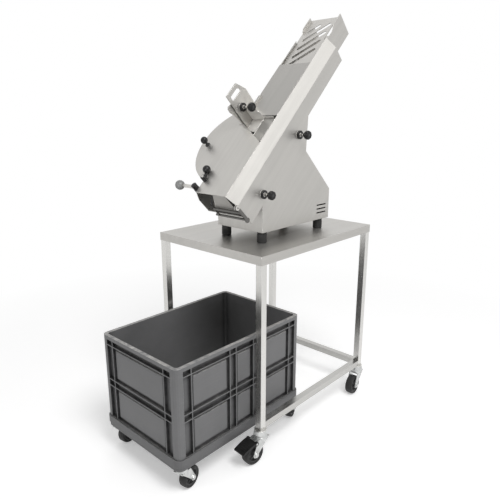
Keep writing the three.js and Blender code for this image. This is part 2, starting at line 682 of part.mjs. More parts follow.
function hopperGeometry() {
  const t = chute.sheet;
  const h = hopper;
  const near = h.sideInset;
  const far = chute.width - h.sideInset;
  const low = h.floorV;
  const wallShape = polygon([
    [h.foot, low], [h.top, low], [h.top, h.lipV], [h.lipToU, h.lipV], [h.lipFromU, h.plateV + t], [h.foot, h.plateV + t],
  ]);
  const walls = [near, far - t].map((y) => upright(wallShape, y, y + t));
  const floor = block(h.foot, h.top, near, far, low, low + t);
  const plate = block(h.plateFromU, h.top, near, far, h.plateV, h.plateV + t);
  const gap = block(chute.top, h.top + overrun, near + t, near + h.nearGap, h.plateV - overrun, h.plateV + overrun);
  const run = h.slotFarY - h.slotNearY;
  const slots = [];
  for (let i = 0; i < h.slotCount; i += 1) slots.push(slotTool(h.slotFirstU + i * h.slotPitch, h.slotFarY, run));
  slots.push(slotTool(h.slotFirstU + h.slotCount * h.slotPitch, h.slotFarY, h.slotFarY - h.shortSlotY));
  return cut(join(floor, ...walls, plate), gap, ...slots);
}

// A slanted slot that starts at the far side and climbs by as much as it crosses
function slotTool(u, farY, run) {
  const r = hopper.slotWidth * half;
  const length = run * Math.SQRT2;
  const shape = new THREE.Shape();
  shape.absarc(0, 0, r, rightAngle, -rightAngle);
  shape.absarc(length, 0, r, -rightAngle, rightAngle);
  return prism(shape, overrun * 2, arcSteps).rotateZ(-rightAngle * half).translate(u, farY, hopper.plateV - overrun);
}

// Blade and drive, drawn on the spindle axis

function motorGeometry() {
  const b = blade;
  const top = chute.floorHeight - chute.sheet - fitGap;
  const bottom = top - b.motorLength;
  const bore = boreRadius(b.spindleRadius, roundSteps);
  const boreFoot = top - b.motorBore;
  const profile = [[0, bottom], [b.motorRadius - b.ribDepth, bottom]];
  const finned = b.motorLength - b.motorFlangeHeight * 2;
  const pitch = finned / b.motorRibCount;
  for (let i = 0; i < b.motorRibCount; i += 1) {
    const z = bottom + b.motorFlangeHeight + i * pitch;
    profile.push([b.motorRadius - b.ribDepth, z], [b.motorRadius, z]);
    profile.push([b.motorRadius, z + pitch * half], [b.motorRadius - b.ribDepth, z + pitch * half]);
  }
  profile.push([b.motorRadius - b.ribDepth, top - b.motorFlangeHeight], [b.motorFlangeRadius, top - b.motorFlangeHeight]);
  profile.push([b.motorFlangeRadius, top], [bore, top], [bore, boreFoot], [0, boreFoot]);
  return turned(profile).translate(b.u, b.y, 0);
}

function spindleGeometry() {
  const b = blade;
  const seat = b.v - fitGap;
  const foot = chute.floorHeight - b.motorBore + overrun;
  const thread = b.boreRadius - fitGap;
  return turned([
    [0, foot], [b.spindleRadius, foot], [b.spindleRadius, seat - b.flangeHeight], [b.flangeRadius, seat - b.flangeHeight],
    [b.flangeRadius, seat], [thread, seat], [thread, seat + b.threadLength], [0, seat + b.threadLength],
  ]).translate(b.u, b.y, 0);
}

function bladeGeometry() {
  const b = blade;
  const shape = new THREE.Shape();
  const steps = b.teeth * b.stepsPerTooth;
  for (let i = 0; i < steps; i += 1) {
    const turn = (i / steps) * fullTurn;
    const scallop = Math.abs(Math.sin((turn * b.teeth) * half));
    const r = b.radius - b.toothDepth * scallop;
    if (i === 0) shape.moveTo(r, 0);
    else shape.lineTo(r * Math.cos(turn), r * Math.sin(turn));
  }
  const bore = new THREE.Path();
  bore.absarc(0, 0, b.boreRadius, 0, fullTurn, true);
  shape.holes.push(bore);
  return prism(shape, b.thickness, 8).translate(b.u, b.y, b.v);
}

function bladeNutGeometry() {
  const b = blade;
  const low = b.v + b.thickness + fitGap;
  const top = low + b.nutHeight;
  return turned([
    [b.boreRadius, low], [b.nutRadius, low], [b.nutRadius, low + b.nutHeight * half], [b.nutCap, top],
    [b.boreRadius, top], [b.boreRadius, low],
  ]).translate(b.u, b.y, 0);
}

// Guide, hold-down and knobs

function guideGeometry() {
  const g = guide;
  const t = chute.sheet;
  const plate = block(g.fromU, g.toU, g.y, g.y + t, chute.floorHeight + g.floorGap, g.top);
  const ears = [g.lowKnobU, g.highKnobU].map((u) => (
    block(u - g.earWidth * half, u + g.earWidth * half, g.y, g.y + t, g.knobV - g.earDrop,
      chute.floorHeight + g.floorGap + t)));
  return join(plate, ...ears);
}

// A grip knob on a screw along y, whose head ends at headFoot on the side of -y
function knobGeometry(u, v, headFoot, stemEnd) {
  const { headRadius: r, headLength: l, edge: e, stemRadius } = knob;
  const start = headFoot - l;
  const profile = [
    [0, start], [r - e, start], [r, start + e], [r, headFoot - e], [r - e, headFoot],
    [stemRadius, headFoot], [stemRadius, stemEnd], [0, stemEnd],
  ];
  return turned(profile, smallSteps).rotateX(-rightAngle).translate(u, 0, v);
}

function holdDownGeometry() {
  const h = holdDown;
  const low = h.footV - h.edgeDrop;
  const outline = polygon([
    [h.fromU, low], [h.toU, low], [h.toU, h.top - h.cutV], [h.toU - h.cutU, h.top], [h.fromU, h.top],
  ]);
  const plate = upright(outline, h.y, h.y + h.plate);
  const t = h.plate;
  const foot = join(
    block(h.footLowU, h.footToU, h.footNear, h.footEdge, h.footV, h.footV + t),
    block(h.footFromU, h.footToU, h.footEdge - t, h.footEdge, low, h.footV + t),
    block(h.footFromU, h.footToU, h.footEdge - t, h.y + t, low, low + t),
  );
  const boss = rodAcross(h.bossRadius, h.screwU, h.screwV, h.y - h.bossHeight, h.y + h.plate * half, roundSteps);
  const grip = upright(roundedRectangle(h.slotFromU, h.slotToU, h.slotLow, h.slotHigh, h.plate), h.y - overrun,
    h.y + overrun * 2, arcSteps);
  const corner = upright(polygon([
    [h.slotToU - h.bossRadius, h.slotHigh + overrun], [h.slotToU + overrun, h.slotHigh + overrun],
    [h.slotToU + overrun, h.slotHigh - h.bossRadius],
  ]), h.y - overrun, h.y + overrun * 2);
  const hand = cut(grip, corner);
  const bore = rodAcross(boreRadius(knob.stemRadius), h.screwU, h.screwV, h.y - h.bossHeight - overrun, h.y + overrun * 2);
  return cut(join(plate, foot, boss), hand, bore);
}

function holdDownKnobGeometry() {
  const h = holdDown;
  const behind = h.y + h.plate + runGap + bracket.plate + fitGap;
  const stem = knobGeometry(h.screwU, h.screwV, h.y - h.knobStandOff, behind + overrun * half);
  const nut = rodAcross(knob.stemRadius * 2, h.screwU, h.screwV, behind, behind + overrun, 6);
  return join(stem, nut);
}

function bracketGeometry() {
  const b = bracket;
  const h = holdDown;
  const roof = chute.roofHeight + chute.sheet + fitGap * 2;
  const y0 = h.y + h.plate + runGap;
  const y1 = y0 + b.plate;
  const cheek = upright(polygon([
    [b.fromU, roof + b.low], [b.toU, roof], [b.toU, roof + b.foot], [b.cheekU, roof + b.foot],
    [b.cheekU, b.high], [b.fromU, b.high],
  ]), y0, y1);
  const footU = cover.lowU + b.plate;
  const shelf = block(footU, b.toU, y0, chute.width - chute.bevel, roof, roof + b.plate);
  const under = block(b.fromU - overrun, footU, y0 - overrun, y1 + overrun, roof - overrun, roof + b.low);
  const r = boreRadius(knob.stemRadius);
  const slot = upright(roundedRectangle(h.screwU - r, h.screwU + r, h.screwV - h.down - r, h.screwV + h.up + r,
    r - runGap / 4), y0 - overrun, y1 + overrun, arcSteps);
  return cut(join(cheek, shelf), under, slot);
}

function ballKnobGeometry() {
  const b = ballKnob;
  const seat = chute.roofHeight + chute.sheet + fitGap * 2;
  const stem = rod(b.stemRadius, seat, seat + b.stemHeight);
  const foot = rod(b.footRadius, seat, seat + b.footHeight);
  const head = ball(b.radius).translate(0, 0, seat + b.stemHeight);
  return join(stem, foot, head).translate(b.u, b.y, 0);
}

function latchGeometry() {
  const l = latch;
  const seat = chute.roofHeight + chute.sheet + fitGap * 2;
  const armLow = seat + l.lift;
  const reach = Math.hypot(l.ballU - l.pivotU, l.ballY - l.pivotY);
  const post = rod(l.postRadius, seat, armLow + l.armWidth);
  const arm = block(0, reach, -l.armWidth * half, l.armWidth * half, armLow, armLow + l.armWidth * half);
  const head = ball(l.ballRadius).translate(reach, 0, seat + l.ballRadius);
  const turn = Math.atan2(l.ballY - l.pivotY, l.ballU - l.pivotU);
  return join(post, arm, head).rotateZ(turn).translate(l.pivotU, l.pivotY, 0);
}

function leverHubGeometry() {
  const l = lever;
  const hub = rod(l.hubRadius, l.hubLow, l.rodV - l.rodRadius - fitGap).translate(l.hubU, l.hubY, 0);
  const pin = rod(l.hubRadius / 4, l.hubLow, l.hubHigh).translate(l.hubU, l.hubY, 0);
  return cut(join(hub, pin), chuteSpace());
}

function leverRodGeometry() {
  const l = lever;
  const collar = rod(l.hubRadius, l.rodV - l.rodRadius, l.hubHigh - fitGap).translate(l.hubU, l.hubY, 0);
  const arm = rodAcross(l.rodRadius, l.hubU, l.rodV, l.hubY, l.rodEnd);
  const grip = ball(leverBall).translate(l.hubU, l.rodEnd + leverBall * half, l.rodV);
  const bore = rod(boreRadius(l.hubRadius / 4), l.hubLow, l.hubHigh + overrun).translate(l.hubU, l.hubY, 0);
  return cut(join(collar, arm, grip), bore);
}

function outletGuardGeometry() {
  const o = outlet;
  const u = chute.mouth - o.lugReach * half;
  const v = o.pivotV - o.lugRadius * half;
  const y1 = -fitGap;
  const y0 = y1 - o.armThickness;
  const eye = rodAcross(o.lugRadius, u, v, y0, y1);
  const armU = chute.mouth - runGap - o.armWidth;
  const arm = block(armU, armU + o.armWidth, y0, y1, o.armFoot, v);
  const foot = rodAcross(o.lugRadius, armU + o.armWidth * half, o.armFoot, y0, y1);
  const pin = rodAcross(o.pinRadius, u, v, y0 + runGap, base.sheet + o.armThickness, 12);
  const barU = chute.mouth - runGap - o.barRadius - o.pinRadius;
  const bars = [
    rodAcross(o.barRadius, barU, o.barHighV, y0 + runGap, o.highBarEnd, 12),
    rodAcross(o.barRadius, barU, o.barLowV, y0 + runGap, o.lowBarEnd, 12),
  ];
  const tie = block(barU - o.pinRadius, barU + o.pinRadius, o.highBarEnd - o.armThickness, o.highBarEnd, o.barLowV,
    o.barHighV);
  return join(eye, arm, foot, pin, ...bars, tie);
}

// Switch box on the hidden side, with its two push buttons

function addSwitches(parent) {
  const s = switches;
  const y0 = base.width;
  const y1 = y0 + s.depth;
  const x0 = base.length - s.rearGap - s.length;
  const centreX = x0 + s.length * half;
  const centreZ = s.z + s.height * half;
  const body = roundedBlock(x0, x0 + s.length, s.z, s.z + s.height, 0, s.depth, overrun);
  const shell = body.rotateX(rightAngle).translate(0, y1, 0);
  const rooms = [];
  const collars = [];
  const sides = { start: -1, stop: 1 };
  for (const side of Object.values(sides)) {
    const x = centreX + side * s.buttonPitch * half;
    collars.push(rodAcross(s.collarRadius, x, centreZ, y1 - overrun, y1 + s.collarHeight));
    rooms.push(rodAcross(boreRadius(s.buttonRadius, roundSteps), x, centreZ, y1 - s.buttonLength, y1 + overrun * 2, roundSteps));
  }
  const gland = rod(s.glandRadius, x0 + s.length - overrun, x0 + s.length + s.glandLength)
    .rotateY(rightAngle).translate(0, y0 + s.depth * half, centreZ);
  addPiece(parent, 'switch_box', cut(join(shell, gland, ...collars), ...rooms), greyPlastic);
  for (const [name, side] of Object.entries(sides)) {
    const x = centreX + side * s.buttonPitch * half;
    const foot = y1 - s.buttonLength + s.travel + fitGap;
    const top = y1 + s.collarHeight + s.travel;
    addPiece(parent, `${name}_button`, rodAcross(s.buttonRadius, x, centreZ, foot, top, roundSteps),
      name === 'start' ? green : red);
  }
}

function addSlicer(parent) {
  const housing = groupAt(parent, base.standX, base.standY, stand.height + base.footHeight);
  addPiece(housing, 'near_side_panel', nearSideGeometry(), steel);
  addPiece(housing, 'far_side_panel', farSideGeometry(), steel);
  addPiece(housing, 'front_panel', frontPanelGeometry(), steel);
  addPiece(housing, 'rear_panel', rearPanelGeometry(), steel);
  addPiece(housing, 'base_pan', basePanGeometry(), steel);
  const feet = {
    near_left: [base.footInset, base.footInset],
    near_right: [base.length - base.footRearInset, base.footInset],
    far_left: [base.footInset, base.width - base.footInset],
    far_right: [base.length - base.footRearInset, base.width - base.footInset],
  };
  for (const [corner, [x, y]] of Object.entries(feet)) {
    addPiece(housing, `foot_${corner}`, footGeometry(), rubber).position.set(x, y, 0);
  }
  addSwitches(housing);

  const run = new THREE.Group();
  run.rotation.y = -slope;
  housing.add(run);
  addPiece(run, 'chute_tray', chuteTrayGeometry(), steel);
  addPiece(run, 'chute_cover', chuteCoverGeometry(), steel);
  addPiece(run, 'blade_cover', bladeCoverGeometry(), steel);
  addPiece(run, 'blade_pan', bladePanGeometry(), steel);
  addPiece(run, 'hopper', hopperGeometry(), steel);
  addPiece(run, 'motor', motorGeometry(), castIron);
  addPiece(run, 'spindle', spindleGeometry(), darkSteel);
  addPiece(run, 'blade', bladeGeometry(), zinc);
  addPiece(run, 'blade_nut', bladeNutGeometry(), darkSteel);
  addPiece(run, 'width_guide', guideGeometry(), steel);
  const knobFoot = -knob.standOff;
  const stemEnd = guide.y - fitGap;
  addPiece(run, 'lower_side_knob', knobGeometry(guide.lowKnobU, guide.knobV, knobFoot, stemEnd), blackPlastic);
  addPiece(run, 'upper_side_knob', knobGeometry(guide.highKnobU, guide.knobV, knobFoot, stemEnd), blackPlastic);
  addPiece(run, 'hold_down_bracket', bracketGeometry(), steel);
  addPiece(run, 'hold_down_plate', holdDownGeometry(), steel);
  addPiece(run, 'hold_down_knob', holdDownKnobGeometry(), blackPlastic);
  addPiece(run, 'cover_ball_knob', ballKnobGeometry(), blackPlastic);
  addPiece(run, 'cover_latch', latchGeometry(), blackPlastic);
  addPiece(run, 'lever_hub', leverHubGeometry(), blackPlastic);
  addPiece(run, 'lever_rod', leverRodGeometry(), zinc);
  addPiece(run, 'outlet_guard', outletGuardGeometry(), darkSteel);
}

// Whole machine: its origin is on the floor, under the middle of everything

const machine = new THREE.Group();
const assembly = new THREE.Group();
machine.add(assembly);
addStand(assembly);
addCrateOnDolly(assembly);
addSlicer(assembly);
assembly.updateMatrixWorld(true);
const extent = new THREE.Box3().setFromObject(assembly, true);
assembly.position.set(-(extent.min.x + extent.max.x) * half, -(extent.min.y + extent.max.y) * half, -extent.min.z);
machine.updateMatrixWorld(true);

export default machine;
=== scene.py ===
"""Roll slicer on a wheeled stand, with a crate on a dolly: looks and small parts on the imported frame."""

import json
import math

import bmesh
import bpy
from mathutils import Matrix, Vector


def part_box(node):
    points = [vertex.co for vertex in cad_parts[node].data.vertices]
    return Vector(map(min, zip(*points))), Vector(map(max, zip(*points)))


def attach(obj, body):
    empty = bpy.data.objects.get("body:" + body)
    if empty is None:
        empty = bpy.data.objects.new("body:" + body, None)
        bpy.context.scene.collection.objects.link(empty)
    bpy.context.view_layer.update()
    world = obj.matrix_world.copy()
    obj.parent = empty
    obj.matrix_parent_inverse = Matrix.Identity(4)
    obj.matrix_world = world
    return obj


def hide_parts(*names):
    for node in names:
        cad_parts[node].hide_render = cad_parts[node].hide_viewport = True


bl_info = {
    "name": "Roll slicer on a wheeled stand",
    "version": (1, 0, 0),
    "blender": (4, 5, 0),
    "location": "3D View > Sidebar > Slicer",
    "description": "Dresses a roll slicer, its stand and its crate dolly with finishes and small parts",
    "category": "Object",
}

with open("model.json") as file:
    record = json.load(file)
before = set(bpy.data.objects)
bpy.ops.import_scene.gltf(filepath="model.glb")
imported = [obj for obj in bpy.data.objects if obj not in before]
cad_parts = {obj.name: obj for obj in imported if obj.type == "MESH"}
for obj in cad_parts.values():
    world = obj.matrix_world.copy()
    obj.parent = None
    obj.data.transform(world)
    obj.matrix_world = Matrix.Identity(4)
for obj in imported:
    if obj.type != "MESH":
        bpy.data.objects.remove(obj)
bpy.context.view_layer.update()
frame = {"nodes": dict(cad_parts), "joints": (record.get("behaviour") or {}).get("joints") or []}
JOINTS = {joint["name"]: joint for joint in frame["joints"]}

MM = 0.001
TABLE_LOW, TABLE_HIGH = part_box("tabletop")
BASE_X, BASE_Y, FOOT_HEIGHT = 0.122, 0.105, 0.040
HOUSING = Vector((TABLE_LOW.x + BASE_X, TABLE_LOW.y + BASE_Y, TABLE_HIGH.z + FOOT_HEIGHT))
SLOPE_ANGLE = math.radians(45)
ON_SLOPE = Matrix.Translation(HOUSING) @ Matrix.Rotation(-SLOPE_ANGLE, 4, "Y") @ Matrix.Scale(MM, 4)
AXIS_ALONG_Y = Matrix.Rotation(-math.pi / 2, 4, "X")
STAND_CORNERS = ("near_left", "near_right", "far_left", "far_right")
# Heights in millimetres: the blade cover's seat for the ball and latch, and the bosses under the knobs
COVER_SEAT = 208.5 + 2 + 0.6
KNOB_BOSS = 8
# Which way a sheet is brushed, as a turn of its coordinates
LENGTHWISE = (0, 0, 0)
ACROSS = (0, 0, math.pi / 2)
UPRIGHT = (0, math.pi / 2, 0)
UP_SLOPE = (0, SLOPE_ANGLE, 0)
OVER_SLOPE = (0, SLOPE_ANGLE, math.pi / 2)
# Slots of the added pieces by their finish; the others are stainless
SLOTS = {
    "Black grip plastic": "black_plastic", "Nylon wheel centre": "black_plastic",
    "Grey ball plastic": "black_plastic", "Crate plastic": "grey_plastic", "Tyre rubber": "rubber",
    "Zinc pressing": "zinc", "Bright rod": "zinc", "Blackened steel": "dark_steel",
}

_materials = {}


# Colours and small helpers for shader trees


def linear(red, green, blue):
    """A colour as written on screen, 0 to 255, as the shader wants it."""
    def one(value):
        share = value / 255
        return share / 12.92 if share <= 0.04045 else ((share + 0.055) / 1.055) ** 2.4

    return (one(red), one(green), one(blue), 1.0)


def shaded(colour, factor):
    return tuple(min(1.0, channel * factor) for channel in colour[:3]) + (1.0,)


def feed(tree, socket, value):
    """Links a socket to another one, or sets its value."""
    if isinstance(value, bpy.types.NodeSocket):
        tree.links.new(value, socket)
    else:
        socket.default_value = value


def node(tree, kind, inputs=None, **settings):
    """Adds a node, with settings as its properties and inputs as values or sockets to link."""
    made = tree.nodes.new(kind)
    for name, value in settings.items():
        setattr(made, name, value)
    for name, value in (inputs or {}).items():
        feed(tree, made.inputs[name], value)
    return made


def math_node(tree, operation, *values, clamp=False):
    inputs = dict(enumerate(values))
    return node(tree, "ShaderNodeMath", inputs, operation=operation, use_clamp=clamp).outputs[0]


def times(tree, first, second, clamp=False):
    return math_node(tree, "MULTIPLY", first, second, clamp=clamp)


def plus(tree, first, second, clamp=False):
    return math_node(tree, "ADD", first, second, clamp=clamp)


def vector_node(tree, operation, *values):
    made = node(tree, "ShaderNodeVectorMath", dict(enumerate(values)), operation=operation)
    return made.outputs["Value" if operation in ("DOT_PRODUCT", "LENGTH") else "Vector"]


def ranged(tree, value, low, high, out_low=0.0, out_high=1.0):
    limits = {"Value": value, "From Min": low, "From Max": high, "To Min": out_low, "To Max": out_high}
    return node(tree, "ShaderNodeMapRange", limits, clamp=True).outputs["Result"]


def mixed(tree, share, first, second):
    return node(tree, "ShaderNodeMix", {0: share, 6: first, 7: second}, data_type="RGBA").outputs[2]


def noise(tree, vector, scale, detail, **more):
    """The value of a noise texture; more can hold its roughness and distortion."""
    inputs = {"Vector": vector, "Scale": scale, "Detail": detail}
    inputs.update({label.capitalize(): value for label, value in more.items()})
    return node(tree, "ShaderNodeTexNoise", inputs).outputs["Fac"]


def seen_rays(tree):
    """1 for what the camera sees, also in a mirror or through glass, else 0."""
    paths = tree.nodes.new("ShaderNodeLightPath").outputs
    seen = math_node(tree, "MAXIMUM", paths["Is Camera Ray"], paths["Is Glossy Ray"])
    return math_node(tree, "MAXIMUM", seen, paths["Is Transmission Ray"])


def new_group(name, inputs, outputs, vectors=()):
    """A node group that takes a vector and numbers. It gives numbers, and vectors where so named."""
    tree = bpy.data.node_groups.new(name, "ShaderNodeTree")
    tree.interface.new_socket(name="Vector", in_out="INPUT", socket_type="NodeSocketVector")
    for label, default in inputs.items():
        socket = tree.interface.new_socket(name=label, in_out="INPUT", socket_type="NodeSocketFloat")
        socket.default_value = default
    for label in outputs:
        kind = "NodeSocketVector" if label in vectors else "NodeSocketFloat"
        tree.interface.new_socket(name=label, in_out="OUTPUT", socket_type=kind)
    ins = tree.nodes.new("NodeGroupInput")
    return tree, ins.outputs, tree.nodes.new("NodeGroupOutput").inputs


def group_node(tree, name, **inputs):
    return node(tree, "ShaderNodeGroup", inputs, node_tree=bpy.data.node_groups[name]).outputs


def cleared(block):
    """The emptied node tree of a new material or world."""
    block.use_nodes = True
    block.node_tree.nodes.clear()
    return block.node_tree


# Effects that several finishes share


def build_brushed_grain():
    """Fine lines along x of the given vector, with broader streaks under them."""
    settings = {"Fineness": 700.0, "Streaks": 60.0}
    tree, ins, outs = new_group("Brushed grain", settings, ("Tone", "Streak tone", "Height"))

    def stretched(scale, along):
        parts = node(tree, "ShaderNodeSeparateXYZ", {"Vector": ins["Vector"]}).outputs
        factors = {"X": along, "Y": scale, "Z": scale}
        joined = {axis: times(tree, parts[axis], factor) for axis, factor in factors.items()}
        return node(tree, "ShaderNodeCombineXYZ", joined).outputs["Vector"]

    fine = noise(tree, stretched(ins["Fineness"], 9.0), 1.0, 3.0, roughness=0.6)
    broad = noise(tree, stretched(ins["Streaks"], 1.6), 1.0, 2.0, roughness=0.5)
    feed(tree, outs["Tone"], ranged(tree, fine, 0.3, 0.7))
    feed(tree, outs["Streak tone"], ranged(tree, broad, 0.3, 0.7))
    feed(tree, outs["Height"], fine)


def build_cloudy_wear():
    """Soft patches, as left by hands and cloths."""
    tree, ins, outs = new_group("Cloudy wear", {"Patches": 6.0}, ("Patch", "Speckle"))
    soft = noise(tree, ins["Vector"], ins["Patches"], 3.0, roughness=0.55, distortion=0.4)
    speck = noise(tree, ins["Vector"], times(tree, ins["Patches"], 30.0), 2.0)
    feed(tree, outs["Patch"], ranged(tree, soft, 0.35, 0.68))
    feed(tree, outs["Speckle"], ranged(tree, speck, 0.58, 0.72))


def build_edge_wear_and_highlight():
    """Where an edge is near, broken up by a noise, and the normal with that edge rounded."""
    settings = {"Width": 0.001, "Break up": 90.0}
    tree, ins, outs = new_group("Edge wear and highlight", settings, ("Edge", "Rounded"), vectors=("Rounded",))
    rounded = node(tree, "ShaderNodeBevel", {"Radius": ins["Width"]}, samples=4).outputs["Normal"]
    flat = tree.nodes.new("ShaderNodeNewGeometry").outputs["Normal"]
    edge = ranged(tree, vector_node(tree, "DOT_PRODUCT", rounded, flat), 0.995, 0.8)
    spots = noise(tree, ins["Vector"], ins["Break up"], 3.0)
    feed(tree, outs["Edge"], times(tree, edge, ranged(tree, spots, 0.3, 0.6, 0.25, 1.0)))
    feed(tree, outs["Rounded"], rounded)


def build_moulded_skin():
    """The fine skin of a moulding: spark-eroded grain and slow changes of tone."""
    tree, ins, outs = new_group("Moulded skin", {"Grain": 1400.0}, ("Tone", "Height"))
    slow = noise(tree, ins["Vector"], 9.0, 4.0, roughness=0.6)
    feed(tree, outs["Tone"], ranged(tree, slow, 0.3, 0.7))
    feed(tree, outs["Height"], noise(tree, ins["Vector"], ins["Grain"], 2.0))


def build_scuffs():
    """Thin scratches in two crossing directions, few and faint."""
    tree, ins, outs = new_group("Scuffs", {"Amount": 0.5}, ("Mask",))
    total = None
    for turn, scale in (((0.3, 0.9, 0.2), (6, 260, 260)), ((1.1, 0.2, 0.8), (8, 210, 210))):
        spun = node(tree, "ShaderNodeMapping", {"Vector": ins["Vector"], "Rotation": turn, "Scale": scale})
        thin = ranged(tree, noise(tree, spun.outputs["Vector"], 1.0, 1.0), 0.66, 0.74)
        total = thin if total is None else math_node(tree, "MAXIMUM", total, thin)
    feed(tree, outs["Mask"], times(tree, total, ins["Amount"], clamp=True))


def build_dust_and_top_light():
    """A mask on what faces up, for settled dust and for painted top light."""
    tree, ins, outs = new_group("Settled dust and top light", {"Amount": 0.3}, ("Mask",))
    normal = tree.nodes.new("ShaderNodeNewGeometry").outputs["Normal"]
    up = node(tree, "ShaderNodeSeparateXYZ", {"Vector": normal}).outputs["Z"]
    spread = noise(tree, ins["Vector"], 40.0, 5.0, roughness=0.7)
    dust_and_top_light = times(tree, ranged(tree, up, 0.2, 1.0), ranged(tree, spread, 0.35, 0.65))
    feed(tree, outs["Mask"], times(tree, dust_and_top_light, ins["Amount"], clamp=True))


def build_painted_corner_shade():
    """Painted shade in grooves and inner corners of a piece, from the occlusion of its own shape."""
    tree, ins, outs = new_group("Painted corner shade", {"Reach": 0.02, "Amount": 0.6}, ("Mask",))
    reach = {"Distance": ins["Reach"]}
    open_share = node(tree, "ShaderNodeAmbientOcclusion", reach, samples=8, only_local=True).outputs["AO"]
    hidden = ranged(tree, open_share, 0.55, 0.95, 1.0, 0.0)
    broken = times(tree, hidden, ranged(tree, noise(tree, ins["Vector"], 55.0, 3.0), 0.3, 0.7, 0.82, 1.0))
    feed(tree, outs["Mask"], times(tree, broken, ins["Amount"], clamp=True))


def build_effects():
    build_brushed_grain()
    build_cloudy_wear()
    build_edge_wear_and_highlight()
    build_moulded_skin()
    build_scuffs()
    build_dust_and_top_light()
    build_painted_corner_shade()


# Finishes


def new_material(name, metallic, **constants):
    """A material with one Principled shader, whose unchanging values sit on its own sockets."""
    material = bpy.data.materials.new(name)
    tree = cleared(material)
    shader = node(tree, "ShaderNodeBsdfPrincipled", {"Metallic": metallic})
    for label, value in constants.items():
        shader.inputs[label.replace("_", " ")].default_value = value
    node(tree, "ShaderNodeOutputMaterial", {"Surface": shader.outputs["BSDF"]})
    _materials[name] = material
    return tree, shader, tree.nodes.new("ShaderNodeTexCoord").outputs["Object"]


def surface(tree, shader, colour, roughness, height, strength, distance, normal=None):
    """Feeds the shader its colour, roughness and bump, the last over a rounded normal if there is one."""
    feed(tree, shader.inputs["Base Color"], colour)
    feed(tree, shader.inputs["Roughness"], roughness)
    bump = {"Height": height, "Strength": strength, "Distance": distance}
    if normal is not None:
        bump["Normal"] = normal
    feed(tree, shader.inputs["Normal"], node(tree, "ShaderNodeBump", bump).outputs["Normal"])


def sheet_steel(name, colour, roughness, turn=LENGTHWISE, edge=0.0012, grain=0.5, metallic=0.88, streak=1.0):
    """Stainless sheet, brushed along x of the turned coordinates, with cloudy wear and edges paler for wear
    and a painted highlight.
    """
    tree, shader, place = new_material(name, metallic)
    along = node(tree, "ShaderNodeMapping", {"Vector": place, "Rotation": turn}).outputs["Vector"]
    lines = group_node(tree, "Brushed grain", Vector=along, Fineness=620.0, Streaks=46.0)
    patch = group_node(tree, "Cloudy wear", Vector=place, Patches=5.0)["Patch"]
    edges = group_node(tree, "Edge wear and highlight", Vector=place, Width=edge)
    scuffs = group_node(tree, "Scuffs", Vector=along, Amount=0.35)["Mask"]
    tone = mixed(tree, lines["Tone"], shaded(colour, 1 - 0.10 * grain), shaded(colour, 1 + 0.10 * grain))
    streaked = mixed(tree, times(tree, lines["Streak tone"], 0.35 * streak), tone, shaded(colour, 0.80))
    clouded = mixed(tree, times(tree, patch, 0.22), streaked, shaded(colour, 1.16))
    # Edges paler: wear, and a painted highlight.
    bright = mixed(tree, times(tree, edges["Edge"], 0.55), clouded, shaded(colour, 1.5))
    rough = roughness - 0.05
    for mask, share in ((patch, 0.07), (lines["Tone"], 0.06), (scuffs, 0.12)):
        rough = plus(tree, rough, times(tree, mask, share))
    raised = math_node(tree, "SUBTRACT", lines["Height"], times(tree, scuffs, 0.5))
    surface(tree, shader, bright, rough, raised, 0.10 * grain, 0.0006, edges["Rounded"])


def plated_steel(name, colour, roughness, metallic=0.9, edge=0.0015):
    """Zinc-plated pressings: blotchy tone, small specks, rounded edges."""
    tree, shader, place = new_material(name, metallic)
    wear = group_node(tree, "Cloudy wear", Vector=place, Patches=40.0)
    edges = group_node(tree, "Edge wear and highlight", Vector=place, Width=edge)
    patched = mixed(tree, wear["Patch"], shaded(colour, 0.82), shaded(colour, 1.12))
    specked = mixed(tree, times(tree, wear["Speckle"], 0.5), patched, shaded(colour, 0.62))
    # Edges paler: wear, and a painted highlight.
    bright = mixed(tree, times(tree, edges["Edge"], 0.5), specked, shaded(colour, 1.4))
    rough = plus(tree, roughness, times(tree, wear["Patch"], 0.14))
    surface(tree, shader, bright, rough, wear["Patch"], 0.12, 0.0005, edges["Rounded"])


